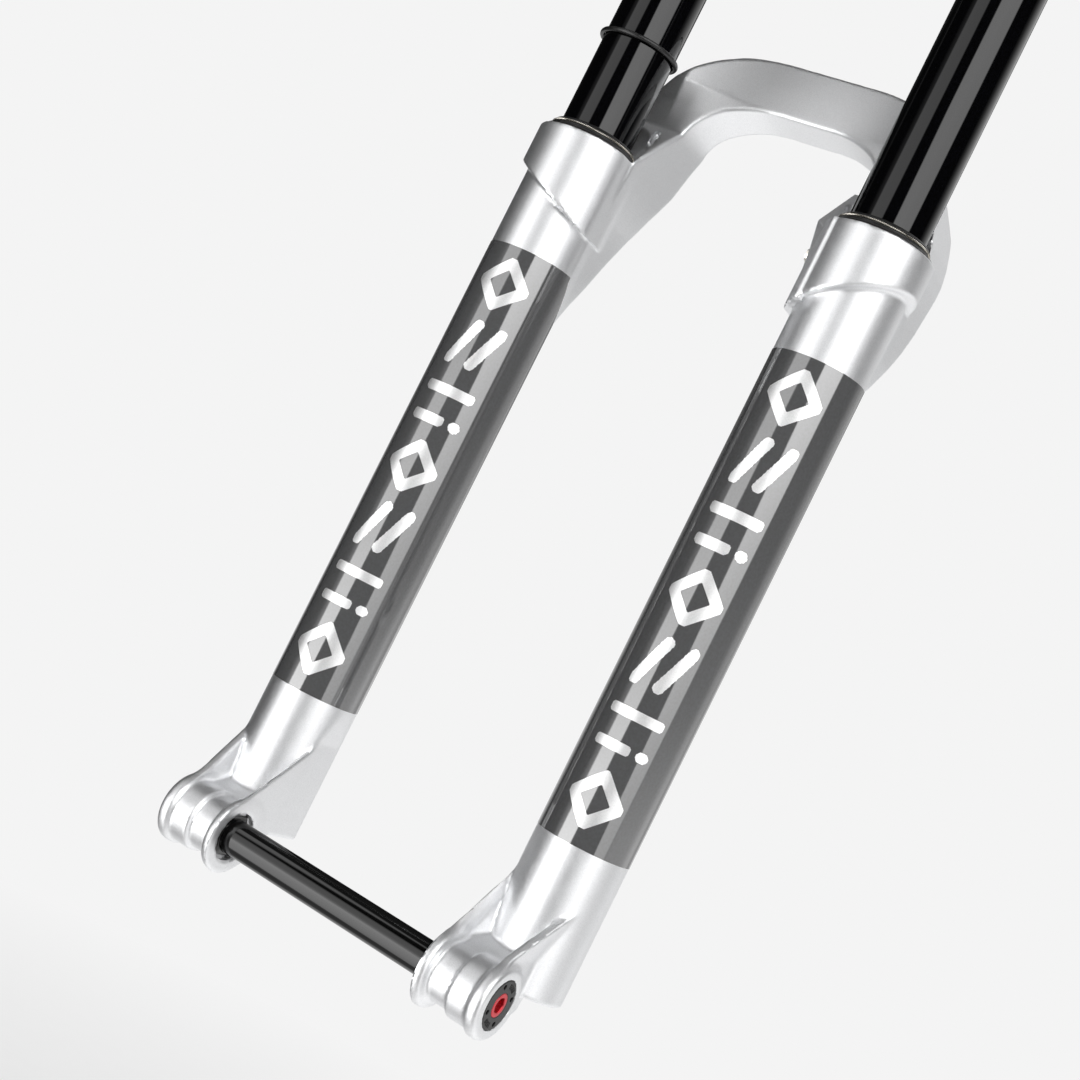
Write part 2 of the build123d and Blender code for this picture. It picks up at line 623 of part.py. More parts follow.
# Seal heads close the stanchions' lower ends; a circlip in a groove holds each one.
SEAL_GROOVE = (180.0, 183.0)
for side, name in ((LEFT, "air_seal_head"), (RIGHT, "damper_seal_head")):
    with BuildPart() as seal_head:
        with BuildSketch(leg_section(side)):
            with BuildLine():
                Polyline(
                    (SHAFT_R + RUNNING_GAP, SEAL_HEAD_LOW), (STANCHION_BORE_R, SEAL_HEAD_LOW),
                    (STANCHION_BORE_R, SEAL_HEAD_TOP), (SHAFT_R + RUNNING_GAP, SEAL_HEAD_TOP),
                    (SHAFT_R + RUNNING_GAP, SEAL_GROOVE[1]), (SHAFT_R + 2.5, SEAL_GROOVE[1]),
                    (SHAFT_R + 2.5, SEAL_GROOVE[0]), (SHAFT_R + RUNNING_GAP, SEAL_GROOVE[0]), close=True,
                )
            make_face()
        revolve(axis=leg_axis(side))
    seal_head.part.label = name
    export_step(seal_head.part, f"parts/{name}.step")

with BuildPart() as shaft_seals:
    for side in SIDES:
        with BuildSketch(leg_plane(side, SEAL_GROOVE[0])):
            Circle(SHAFT_R + 2.5)
            Circle(SHAFT_R + RUNNING_GAP / 2, mode=Mode.SUBTRACT)
        extrude(amount=SEAL_GROOVE[1] - SEAL_GROOVE[0])
shaft_seals.part.label = "shaft_seals"
export_step(shaft_seals.part, "parts/shaft_seals.step")

with BuildPart() as circlips:
    for side in SIDES:
        with BuildSketch(leg_plane(side, CIRCLIP_Z)):
            Circle(CIRCLIP_R)
            Circle(12.5, mode=Mode.SUBTRACT)
            with Locations((0, -CIRCLIP_R)):
                Rectangle(7, 10, mode=Mode.SUBTRACT)
        extrude(amount=CIRCLIP_HEIGHT)
circlips.part.label = "circlips"
export_step(circlips.part, "parts/circlips.step")

# ================================================================ shafts that move with the lower legs
PISTON_LOW = 204.0
PISTON_HEIGHT = 15.0
FOOT_BOLT_R = 3.0
STUB_R = 4.2
ADJUSTER_R = 1.9

with BuildPart() as air_shaft:
    with BuildSketch(leg_section(LEFT)):
        with BuildLine():
            Polyline(
                (0, 36), (FOOT_BOLT_R, 36), (FOOT_BOLT_R, FLOOR_TOP), (10, FLOOR_TOP), (10, FLOOR_TOP + 3),
                (SHAFT_R, FLOOR_TOP + 3.5), (SHAFT_R, PISTON_LOW + PISTON_HEIGHT),
                (0, PISTON_LOW + PISTON_HEIGHT), close=True,
            )
        make_face()
    revolve(axis=leg_axis(LEFT))
air_shaft.part.label = "air_shaft"
export_step(air_shaft.part, "parts/air_shaft.step")

PISTON_GROOVE = (PISTON_LOW + 5, PISTON_LOW + 9)
PISTON_GROOVE_R = 12.8
for side, name in ((LEFT, "air_piston"), (RIGHT, "rebound_piston")):
    with BuildPart() as piston:
        with BuildSketch(leg_section(side)):
            with BuildLine():
                Polyline(
                    (SHAFT_R, PISTON_LOW), (PISTON_R, PISTON_LOW), (PISTON_R, PISTON_GROOVE[0]),
                    (PISTON_GROOVE_R, PISTON_GROOVE[0]), (PISTON_GROOVE_R, PISTON_GROOVE[1]),
                    (PISTON_R, PISTON_GROOVE[1]), (PISTON_R, PISTON_LOW + PISTON_HEIGHT),
                    (SHAFT_R, PISTON_LOW + PISTON_HEIGHT), close=True,
                )
            make_face()
        revolve(axis=leg_axis(side))
        if side == RIGHT:
            with BuildSketch(leg_plane(side, PISTON_LOW)):
                with PolarLocations(9.4, 6):
                    Circle(1.7)
            extrude(amount=PISTON_HEIGHT, mode=Mode.SUBTRACT)
    piston.part.label = name
    export_step(piston.part, f"parts/{name}.step")

for side, name in ((LEFT, "air_piston_seal"), (RIGHT, "rebound_piston_band")):
    with BuildPart() as piston_seal:
        with BuildSketch(leg_plane(side, PISTON_GROOVE[0])):
            Circle(STANCHION_BORE_R - RUNNING_GAP / 2)
            Circle(PISTON_GROOVE_R, mode=Mode.SUBTRACT)
        extrude(amount=PISTON_GROOVE[1] - PISTON_GROOVE[0])
    piston_seal.part.label = name
    export_step(piston_seal.part, f"parts/{name}.step")

with BuildPart() as top_out_bumpers:
    for side in SIDES:
        with BuildSketch(leg_plane(side, SEAL_HEAD_TOP + 1)):
            Circle(10)
            Circle(SHAFT_R, mode=Mode.SUBTRACT)
        extrude(amount=PISTON_LOW - SEAL_HEAD_TOP - 1)
top_out_bumpers.part.label = "top_out_bumpers"
export_step(top_out_bumpers.part, "parts/top_out_bumpers.step")

with BuildPart() as damper_shaft:
    with BuildSketch(leg_section(RIGHT)):
        with BuildLine():
            Polyline(
                (ADJUSTER_R + RUNNING_GAP, LEG_BOTTOM + 5), (STUB_R, LEG_BOTTOM + 5), (STUB_R, FLOOR_TOP),
                (10, FLOOR_TOP), (10, FLOOR_TOP + 3), (SHAFT_R, FLOOR_TOP + 3.5),
                (SHAFT_R, PISTON_LOW + PISTON_HEIGHT + 8),
                (ADJUSTER_R + RUNNING_GAP, PISTON_LOW + PISTON_HEIGHT + 8), close=True,
            )
        make_face()
    revolve(axis=leg_axis(RIGHT))
damper_shaft.part.label = "damper_shaft"
export_step(damper_shaft.part, "parts/damper_shaft.step")

SHIM_THICKNESS = 0.4
with BuildPart() as rebound_shims:
    for count in range(4):
        with BuildSketch(leg_plane(RIGHT, PISTON_LOW + PISTON_HEIGHT + count * SHIM_THICKNESS)):
            Circle(12.4 - 1.6 * count)
            Circle(SHAFT_R, mode=Mode.SUBTRACT)
        extrude(amount=SHIM_THICKNESS)
rebound_shims.part.label = "rebound_shims"
export_step(rebound_shims.part, "parts/rebound_shims.step")

SHIMS_TOP = PISTON_LOW + PISTON_HEIGHT + 4 * SHIM_THICKNESS
with BuildPart() as piston_nut:
    with BuildSketch(leg_plane(RIGHT, SHIMS_TOP)):
        RegularPolygon(6.5, 6, major_radius=False)
        Circle(SHAFT_R, mode=Mode.SUBTRACT)
    extrude(amount=5)
piston_nut.part.label = "piston_nut"
export_step(piston_nut.part, "parts/piston_nut.step")

# ---------------------------------------------------------------- feet of the shafts
WASHER_THICKNESS = 0.8
with BuildPart() as crush_washers:
    for side, bore in ((LEFT, FOOT_BOLT_R), (RIGHT, STUB_R)):
        with BuildSketch(leg_plane(side, FOOT_RECESS_TOP - WASHER_THICKNESS)):
            Circle(8.2)
            Circle(bore, mode=Mode.SUBTRACT)
        extrude(amount=WASHER_THICKNESS)
crush_washers.part.label = "crush_washers"
export_step(crush_washers.part, "parts/crush_washers.step")

FOOT_HEAD_TOP = FOOT_RECESS_TOP - WASHER_THICKNESS
with BuildPart() as foot_bolt:
    with BuildSketch(leg_plane(LEFT, FOOT_HEAD_TOP)):
        Circle(7.5)
    extrude(amount=-5.5)
    with BuildSketch(leg_plane(LEFT, FOOT_HEAD_TOP - 5.5)):
        RegularPolygon(2.5, 6, major_radius=False)
    extrude(amount=3.5, mode=Mode.SUBTRACT)
    with BuildSketch(leg_plane(LEFT, FOOT_HEAD_TOP)):
        Circle(FOOT_BOLT_R)
    extrude(amount=22)
foot_bolt.part.label = "foot_bolt"
export_step(foot_bolt.part, "parts/foot_bolt.step")

with BuildPart() as foot_nut:
    with BuildSketch(leg_plane(RIGHT, FOOT_HEAD_TOP - 2.5)):
        RegularPolygon(6.5, 6, major_radius=False)
        Circle(STUB_R, mode=Mode.SUBTRACT)
    extrude(amount=2.5)
foot_nut.part.label = "foot_nut"
export_step(foot_nut.part, "parts/foot_nut.step")

with BuildPart() as rebound_knob:
    with BuildSketch(leg_plane(RIGHT, LEG_BOTTOM + 0.4)):
        Circle(9.4)
        with PolarLocations(10.2, 16):
            Circle(1.2, mode=Mode.SUBTRACT)
    extrude(amount=4)
    with BuildSketch(leg_plane(RIGHT, LEG_BOTTOM + 0.4)):
        RegularPolygon(1.5, 6, major_radius=False)
    extrude(amount=2, mode=Mode.SUBTRACT)
rebound_knob.part.label = "rebound_knob"
export_step(rebound_knob.part, "parts/rebound_knob.step")

with BuildPart() as rebound_adjuster_rod:
    with BuildSketch(leg_plane(RIGHT, LEG_BOTTOM + 4.4)):
        Circle(ADJUSTER_R)
    extrude(amount=PISTON_LOW - LEG_BOTTOM)
rebound_adjuster_rod.part.label = "rebound_adjuster_rod"
export_step(rebound_adjuster_rod.part, "parts/rebound_adjuster_rod.step")

# ================================================================ wheel axle
AXLE_END_X = 79.0
BOLT_HEAD_R = 5.1
BOLT_SHANK_R = 3.9
BOLT_HEAD_IN = 82.0
BOLT_END_X = 60.0
PIN_HOLE_R = 1.0
PIN_CIRCLE_R = 8.2

with BuildPart() as axle_insert:
    with BuildSketch(side_plane(HUB_FACE + HUB_RECESS_DEPTH + 0.5)):
        Circle(INSERT_INNER_R)
        Circle(AXLE_R + RUNNING_GAP, mode=Mode.SUBTRACT)
    extrude(amount=DROPOUT_OUT - 6 - HUB_FACE - HUB_RECESS_DEPTH - 0.5)
    with BuildSketch(side_plane(DROPOUT_OUT - 6)):
        Circle(INSERT_R)
        Circle(BOLT_SHANK_R + 2 * RUNNING_GAP, mode=Mode.SUBTRACT)
    extrude(amount=6)
    with BuildSketch(side_plane(BOLT_HEAD_IN)):
        Circle(BOLT_HEAD_R + RUNNING_GAP)
    extrude(amount=6, mode=Mode.SUBTRACT)
    with BuildSketch(side_plane(DROPOUT_OUT)):
        with PolarLocations(PIN_CIRCLE_R, 4, start_angle=20):
            Circle(PIN_HOLE_R)
    extrude(amount=-3, mode=Mode.SUBTRACT)
axle_insert.part.label = "axle_insert"
export_step(axle_insert.part, "parts/axle_insert.step")

with BuildPart() as thru_axle:
    with BuildSketch(side_plane(-DROPOUT_OUT + 0.6)):
        RegularPolygon(AXLE_HEX / 2, 6, major_radius=False)
    extrude(amount=DROPOUT_OUT - HUB_FACE - 2.6)
    with BuildSketch(side_plane(-HUB_FACE - 2.5)):
        Circle(AXLE_R)
    extrude(amount=AXLE_END_X + HUB_FACE + 2.5)
    with BuildSketch(side_plane(-DROPOUT_OUT + 0.6)):
        Circle(6.0)
    extrude(amount=12, mode=Mode.SUBTRACT)
    with BuildSketch(side_plane(AXLE_END_X)):
        Circle(BOLT_SHANK_R + RUNNING_GAP)
    extrude(amount=-(AXLE_END_X - BOLT_END_X + 3), mode=Mode.SUBTRACT)
    with BuildSketch(side_plane(-DROPOUT_OUT + 12)):
        Circle(4.6)
    extrude(amount=BOLT_END_X + DROPOUT_OUT - 18, mode=Mode.SUBTRACT)
thru_axle.part.label = "thru_axle"
export_step(thru_axle.part, "parts/thru_axle.step")

with BuildPart() as axle_bolt:
    with BuildSketch(side_plane(BOLT_END_X)):
        Circle(BOLT_SHANK_R)
    extrude(amount=BOLT_HEAD_IN - BOLT_END_X)
    with BuildSketch(side_plane(BOLT_HEAD_IN)):
        Circle(BOLT_HEAD_R)
    extrude(amount=DROPOUT_OUT - BOLT_HEAD_IN)
    chamfer(axle_bolt.edges().filter_by(GeomType.CIRCLE).group_by(Axis.X)[-1], length=0.5)
    with BuildSketch(side_plane(DROPOUT_OUT)):
        RegularPolygon(3.0, 6, major_radius=False)
    extrude(amount=-3.6, mode=Mode.SUBTRACT)
axle_bolt.part.label = "axle_bolt"
export_step(axle_bolt.part, "parts/axle_bolt.step")

# ================================================================ hose guide, left leg
GUIDE_PLAN = [(53, 32), (49, 32), (42.2, 36), (42.2, 58), (53, 58)]
GUIDE_FRONT = [(53, 304), (49, 304), (45.4, 327), (42, 341), (42, 370), (53, 370)]
HOSE_CENTRE = (47.6, 49.0)   # the hose channel runs straight down through the guide
GUIDE_TOP = [(30, 334), (60, 365), (60, 380), (30, 380)]
HOSE_R = 2.6
SCREW_HEAD_X = 46.0          # the head's seat
SCREW_HEAD_R = 3.0

with BuildPart() as hose_guide:
    with BuildSketch(Plane.XY.offset(300)):
        with BuildLine():
            Polyline(*GUIDE_PLAN, close=True)
        make_face()
    extrude(amount=70)
    with BuildSketch(Plane.XZ):
        with BuildLine():
            Polyline(*GUIDE_FRONT, close=True)
        make_face()
    extrude(amount=-70, mode=Mode.INTERSECT)
    # Sloping top in line with the arch's root.
    with BuildSketch(side_plane(30)):
        with BuildLine():
            Polyline(*GUIDE_TOP, close=True)
        make_face()
    extrude(amount=30, mode=Mode.SUBTRACT)
    # Channel that the brake hose lies in.
    with BuildSketch(Plane.XY.offset(300)):
        with Locations(HOSE_CENTRE):
            Circle(HOSE_R)
    extrude(amount=70, mode=Mode.SUBTRACT)
    # The back fits the casting and stays clear of the wiper.
    add(lower_casting.part, mode=Mode.SUBTRACT)
    with BuildSketch(leg_plane(LEFT, 300)):
        Circle(WIPER_CLEARANCE_R)
    extrude(amount=70, mode=Mode.SUBTRACT)
    with BuildSketch(side_plane(30)):
        with Locations((GUIDE_SCREW_Y, GUIDE_SCREW_Z)):
            Circle(GUIDE_SCREW_R)
    extrude(amount=GUIDE_SCREW_END_X - 30, mode=Mode.SUBTRACT)
    with BuildSketch(side_plane(30)):
        with Locations((GUIDE_SCREW_Y, GUIDE_SCREW_Z)):
            Circle(SCREW_HEAD_R + 0.1)
    extrude(amount=SCREW_HEAD_X - 30, mode=Mode.SUBTRACT)
hose_guide.part.label = "hose_guide"
export_step(hose_guide.part, "parts/hose_guide.step")

with BuildPart() as hose_guide_screw:
    with BuildSketch(side_plane(GUIDE_SCREW_END_X)):
        with Locations((GUIDE_SCREW_Y, GUIDE_SCREW_Z)):
            Circle(GUIDE_SCREW_R)
    extrude(amount=-(GUIDE_SCREW_END_X - SCREW_HEAD_X))
    with BuildSketch(side_plane(SCREW_HEAD_X)):
        with Locations((GUIDE_SCREW_Y, GUIDE_SCREW_Z)):
            Circle(SCREW_HEAD_R)
    extrude(amount=-2.0)
    with BuildSketch(side_plane(SCREW_HEAD_X - 2.0)):
        with Locations((GUIDE_SCREW_Y, GUIDE_SCREW_Z)):
            RegularPolygon(1.25, 6, major_radius=False)
    extrude(amount=1.6, mode=Mode.SUBTRACT)
hose_guide_screw.part.label = "hose_guide_screw"
export_step(hose_guide_screw.part, "parts/hose_guide_screw.step")
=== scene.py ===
import json
import math

import bpy
import numpy as np
import openvdb
from mathutils import Matrix, Vector


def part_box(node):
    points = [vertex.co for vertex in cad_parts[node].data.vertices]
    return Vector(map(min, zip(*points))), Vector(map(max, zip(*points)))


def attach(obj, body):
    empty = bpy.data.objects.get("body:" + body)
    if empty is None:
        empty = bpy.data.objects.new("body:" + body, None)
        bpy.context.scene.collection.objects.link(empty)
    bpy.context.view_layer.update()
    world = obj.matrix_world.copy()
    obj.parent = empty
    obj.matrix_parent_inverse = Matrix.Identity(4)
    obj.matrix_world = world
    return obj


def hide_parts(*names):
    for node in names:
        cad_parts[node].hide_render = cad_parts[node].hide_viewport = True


# A suspension fork seen from its front left. Shape functions below work in millimetres in the
# CAD frame: +Z up the legs, -Y the front, +X the rider's left. Meshes are made in metres.

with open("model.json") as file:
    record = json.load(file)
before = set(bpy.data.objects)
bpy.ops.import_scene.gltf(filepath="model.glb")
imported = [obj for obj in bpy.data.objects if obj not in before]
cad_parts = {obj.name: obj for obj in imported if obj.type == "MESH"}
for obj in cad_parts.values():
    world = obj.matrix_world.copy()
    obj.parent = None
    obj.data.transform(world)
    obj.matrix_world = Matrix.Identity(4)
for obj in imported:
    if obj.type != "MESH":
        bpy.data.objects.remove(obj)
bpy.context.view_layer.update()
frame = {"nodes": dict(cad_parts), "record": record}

MM = 0.001


def box_mm(node):
    """A CAD node's lowest and highest corners, in millimetres."""
    low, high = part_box(node)
    return np.array(low) / MM, np.array(high) / MM


# ---------------------------------------------------------------- sizes taken from the frame
stanchion_low, stanchion_high = box_mm("stanchion_left")
casting_high = box_mm("lower_casting")[1]
decal_low, decal_high = box_mm("decal_left")
wiper_low, wiper_high = box_mm("wiper_seals")
crown_low, crown_high = box_mm("crown")
steerer_low, steerer_high = box_mm("steerer_tube")
insert_low, insert_high = box_mm("axle_insert")
bushing_low, bushing_high = box_mm("upper_bushings")

LEG_X, LEG_Y = (stanchion_low[:2] + stanchion_high[:2]) / 2
STANCHION_R = (stanchion_high[0] - stanchion_low[0]) / 2
STANCHION_BORE_R = 15.0
STEERER_Y = (steerer_low[1] + steerer_high[1]) / 2
FILM = 0.2                   # decal thickness
WIPER_DEPTH = 6.0            # how far a wiper sits down in its collar
LEG_R = (decal_high[0] - decal_low[0]) / 2 - FILM
BORE_R = (bushing_high[1] - bushing_low[1]) / 2
COLLAR_R = casting_high[0] - LEG_X
COLLAR_TOP = wiper_low[2] + WIPER_DEPTH
DROPOUT_OUT = insert_high[0]
INSERT_R = (insert_high[1] - insert_low[1]) / 2
PRESSED_R = 19.5             # the steerer's foot inside the crown
WIPER_LIP_R = STANCHION_R + 0.05

# Steps of the grids that the cast and forged shapes are meshed on.
FINE = 1.0
COARSE = 14.0

# ---------------------------------------------------------------- the casting's own sizes
HUB_FACE = 55.0
LEG_BOTTOM = 3.5
FOOT_FRONT_Y = 22.0          # the foot's flat cut starts here and leaves the dropout alone
FOOT_RECESS_R, FOOT_RECESS_TOP = 11.0, 12.0
FOOT_BOLT_R, REBOUND_ROD_R = 3.2, 4.2
FLOOR_TOP = 18.0
FOOT_BORE_R = 17.4           # narrower where the leg's inner side is cut flat
FOOT_BORE_TOP = 62.0
WIPER_SEAT_R = 21.0
WIPER_ROOM_R = 23.0          # clear of the casting above the collar
COLLAR_BEAD = (59.2, 15.4)   # thin bead down the left collar, in front of the hose guide
COLLAR_BEAD_R = 2.0
COLLAR_BEAD_LOW = 300.0
COLLAR_EDGE = 308.6          # collar's lower edge on the leg's axis
COLLAR_SLOPE = 0.5
COLLAR_FLAT = 50.5           # flat on the collar's inner side, level with the arch's root
COLLAR_FLAT_LOW = 250.0
LEG_FLAT = 52.8              # where the foot's flat has run out on the round leg
FLANGE_R = 16.2
OUTER_FLANGE_R = 15.2
NECK_R = 11.8
BARREL_R = 14.0
BARREL_STEP = 70.0
HUB_SEAT_R, HUB_SEAT_DEPTH = 10.8, 3.0
INSERT_THREAD_R = 9.0
INSERT_HEAD = 6.0            # depth of the insert's wide head
AXLE_HEX = 18.0              # across the flats of the axle's head
AXLE_R = 7.5


# ================================================================ distance fields and their meshes
def tidy(mesh, sharp_degrees=35.0):
    """Checks a new mesh and shades it smooth up to its sharp edges."""
    mesh.validate()
    mesh.update()
    mesh.shade_smooth()
    mesh.set_sharp_from_angle(angle=math.radians(sharp_degrees))
    return mesh


def smooth_min(a, b, k):
    """Union of two fields with a fillet about k / 2 wide."""
    h = np.maximum(k - np.abs(a - b), 0) / k
    return np.minimum(a, b) - h * h * k / 4


def smooth_max(a, b, k):
    """Overlap of two fields with a fillet about k / 2 wide."""
    return -smooth_min(-a, -b, k)


def rounded(a, b, r):
    """Where both fields are inside, with the meeting edge rounded to radius r."""
    a, b = a + r, b + r
    return np.minimum(np.maximum(a, b), 0) + np.hypot(np.maximum(a, 0), np.maximum(b, 0)) - r


def slab(t, low, high):
    """Inside between two parallel planes."""
    return np.maximum(low - t, t - high)


def outline(u, v, points):
    """Signed distance from (u, v) to a closed outline, negative inside."""
    nearest = np.full(np.broadcast(u, v).shape, 1e12, np.float32)
    inside = np.zeros(nearest.shape, bool)
    for (u0, v0), (u1, v1) in zip(points, points[1:] + points[:1]):
        du, dv = u1 - u0, v1 - v0
        along = np.clip(((u - u0) * du + (v - v0) * dv) / (du * du + dv * dv), 0, 1)
        nearest = np.minimum(nearest, (u - u0 - du * along) ** 2 + (v - v0 - dv * along) ** 2)
        if dv:
            inside ^= ((v0 <= v) != (v1 <= v)) & (u < u0 + (v - v0) * du / dv)
    return np.where(inside, -1, 1) * np.sqrt(nearest)


def eased(points, rounds=2):
    """The closed outline with its corners cut again and again, which leaves gentle curves."""
    for _ in range(rounds):
        cut = []
        for (u0, v0), (u1, v1) in zip(points, points[1:] + points[:1]):
            cut.append((0.75 * u0 + 0.25 * u1, 0.75 * v0 + 0.25 * v1))
            cut.append((0.25 * u0 + 0.75 * u1, 0.25 * v0 + 0.75 * v1))
        points = cut
    return points


def rod(x, y, z, start, end, r):
    """Round-ended rod between two points."""
    run = np.subtract(end, start)
    along = ((x - start[0]) * run[0] + (y - start[1]) * run[1] + (z - start[2]) * run[2]) / (run @ run)
    along = np.clip(along, 0, 1)
    away = (x - start[0] - run[0] * along) ** 2 + (y - start[1] - run[1] * along) ** 2
    return np.sqrt(away + (z - start[2] - run[2] * along) ** 2) - r


def hull(circle_r, points):
    """Outline round a circle at the axle and some points beside it."""
    arc = [
        (circle_r * math.cos(a), circle_r * math.sin(a))
        for a in np.linspace(0, 2 * math.pi, 48, endpoint=False)
    ]
    cloud = sorted(arc + points)
    ring = []
    for order in (cloud, cloud[::-1]):
        chain = []
        for p in order:
            while len(chain) > 1:
                (ax, ay), (bx, by) = chain[-2], chain[-1]
                if (bx - ax) * (p[1] - ay) - (by - ay) * (p[0] - ax) > 0:
                    break
                chain.pop()
            chain.append(p)
        ring += chain[:-1]
    return ring


def spaced(low, high, step):
    """Evenly spaced places for one stretch of a grid."""
    return list(np.arange(low, high, step))


def field_mesh(name, field, xs, ys, zs):
    """Closed quad mesh of a field's zero surface, sampled on a grid of uneven spacing."""
    values = field(
        xs[:, None, None].astype(np.float32), ys[None, :, None].astype(np.float32),
        zs[None, None, :].astype(np.float32),
    )
    values = np.broadcast_to(values, (len(xs), len(ys), len(zs))).astype(np.float32)
    grid = openvdb.FloatGrid(background=1000.0)
    grid.copyFromArray(np.ascontiguousarray(values))
    cells, quads = grid.convertToQuads(isovalue=0.0)
    points = np.stack(
        [np.interp(cells[:, i], np.arange(len(axis)), axis) for i, axis in enumerate((xs, ys, zs))], axis=1
    )
    for _ in range(2):
        points = onto_surface(field, points)
    mesh = bpy.data.meshes.new(name)
    mesh.from_pydata((points * MM).tolist(), [], quads[:, ::-1].tolist())
    return tidy(mesh, 50.0)


def onto_surface(field, points, probe=0.05, reach=0.5):
    """One Newton step that moves points along the field's slope onto its zero surface."""
    value = field(*points.T)
    slope = np.stack(
        [(field(*(points + offset).T) - value) / probe for offset in np.eye(3) * probe], axis=1
    )
    squared = np.maximum((slope ** 2).sum(1), 0.2)
    step = -slope * (value / squared)[:, None]
    length = np.maximum(np.linalg.norm(step, axis=1, keepdims=True), 1e-9)
    return points + step * np.minimum(1, reach / length)


# ================================================================ lower casting
INNER_PLATE = hull(FLANGE_R, [(24.0, 46.0), (40.0, 46.0), (43.5, LEG_BOTTOM), (26.0, LEG_BOTTOM)])
OUTER_RIB = hull(OUTER_FLANGE_R, [(22.5, 42.5), (30.0, 41.0), (30.0, LEG_BOTTOM), (20.0, LEG_BOTTOM)])
WEB = hull(NECK_R, [(14.0, 14.0), (30.0, 24.0), (30.0, LEG_BOTTOM), (18.0, LEG_BOTTOM - 2)])

ARCH_HALF = [
    (0, 418.5), (24, 418), (34, 416.5), (46, 413.5), (56, 407), (66, 394), (79, 368), (90, 340),
    (93, 300), (84, 262), (57, 250), (53.2, 272), (53.2, 303), (50, 324), (49.4, 340), (49.6, 356),
    (48.6, 367), (45, 375), (38, 382), (28, 387), (18, 389.5), (0, 389.5),
]
ARCH_OUTLINE = eased(ARCH_HALF + [(-x, z) for x, z in reversed(ARCH_HALF[1:-1])])
ARCH_SIDE = [
    (34, 250), (34, 338), (44, 348.6), (60, 365.3), (66.5, 378.6), (71.5, 391), (79.5, 419), (89, 414),
    (93, 404), (91.5, 388), (88, 362), (80, 340), (71, 324), (62.5, 303), (47.5, 270), (42, 250),
]
ARCH_BOW = 0.00375           # above its roots the arch bows back by this times x squared
ARCH_BOW_END = 60.0          # the bow grows no further than this far from the middle
ARCH_DROP = 0.33             # share of the bow by which it also drops
ARCH_LEAN = 0.12             # the arch's underside drops this much per mm towards the rear
ARCH_MIDDLE_Y = 80.0
ARCH_CHANNEL = (96.0, 401.0)
ARCH_CHANNEL_R, ARCH_CHANNEL_END = 8.0, 38.0
ROOT_POCKET = ((54.2, 47.4, 349.8), (58.6, 56.9, 360.4))
ROOT_POCKET_R = 1.5
PLATE_CREASE = (58.5, 2.0, 9.5)      # a point on the inner plate's slanted outer face
PLATE_SLANT = (0.499, -0.395)        # that face moves out this much per mm back, and per mm up
POST_X, POST_FACE, POST_R = 59.0, 66.0, 8.0
POST_HOLE_R, POST_HOLE_DEPTH = 3.0, 15.0
POST_Z = (72.0 - 37.1, 72.0 + 37.1)
POST_RIB = [(40, 14), (58, 34.9), (54, 72), (58, 109.1), (40, 134)]


def leg_field(across, y, z):
    """One leg with its flat inner foot and its collar; across is the distance from the middle."""
    radius = np.hypot(across - LEG_X, y - LEG_Y)
    tube = rounded(radius - LEG_R, slab(z, LEG_BOTTOM, COLLAR_TOP - 2), 1.2)
    edge = COLLAR_EDGE + COLLAR_SLOPE * (across - LEG_X)
    under_edge = (edge - z) / math.hypot(1, COLLAR_SLOPE)
    collar = rounded(radius - COLLAR_R, z - COLLAR_TOP, 0.5)
    collar = rounded(collar, under_edge, 0.7)
    return smooth_min(tube, collar, 1.2)


def dropout_field(across, y, z):
    """Axle barrel, inner plate, outer rib and the web that joins them."""
    from_axle = np.hypot(y, z)
    neck = rounded(from_axle - NECK_R, slab(across, HUB_FACE, BARREL_STEP + 2), 1.0)
    barrel = rounded(from_axle - BARREL_R, slab(across, BARREL_STEP, DROPOUT_OUT - 1.5), 1.1)
    # The inner plate has a wide bevelled front edge, and its outer face slants out to meet the leg.
    bevel = 0.66 + 0.6 * np.clip((z - 15) / 16.5, 0, 1)
    plate_edge = (outline(y, z, INNER_PLATE) + bevel * (across - HUB_FACE)) / np.hypot(1, bevel)
    slanted = across - PLATE_CREASE[0]
    slanted = slanted - PLATE_SLANT[0] * (y - PLATE_CREASE[1]) - PLATE_SLANT[1] * (z - PLATE_CREASE[2])
    slanted = slanted / math.hypot(1, *PLATE_SLANT)
    plate_face = np.minimum(across - HUB_FACE - 3.3, np.maximum(slanted, 12 - from_axle))
    plate = rounded(plate_edge, np.maximum(HUB_FACE - across, plate_face), 1.3)
    flange = rounded(from_axle - FLANGE_R, slab(across, HUB_FACE, HUB_FACE + 4.2), 1.7)
    # The outer rib flares out as it rises.
    face = DROPOUT_OUT - 1.8 + 0.21 * np.clip(z - 18, 0, 26)
    rib = rounded(outline(y, z, OUTER_RIB), np.maximum(face - 3.8 - across, across - face), 1.0)
    outer_flange = rounded(from_axle - OUTER_FLANGE_R, slab(across, DROPOUT_OUT - 5.5, DROPOUT_OUT), 1.6)
    web = rounded(outline(y, z, WEB), slab(across, HUB_FACE + 1, DROPOUT_OUT - 3), 1.0)
    shape = smooth_min(neck, barrel, 1.0)
    shape = smooth_min(shape, web, 1.4)
    shape = smooth_min(shape, smooth_min(plate, flange, 3.0), 1.4)
    return smooth_min(shape, smooth_min(rib, outer_flange, 2.0), 1.6)


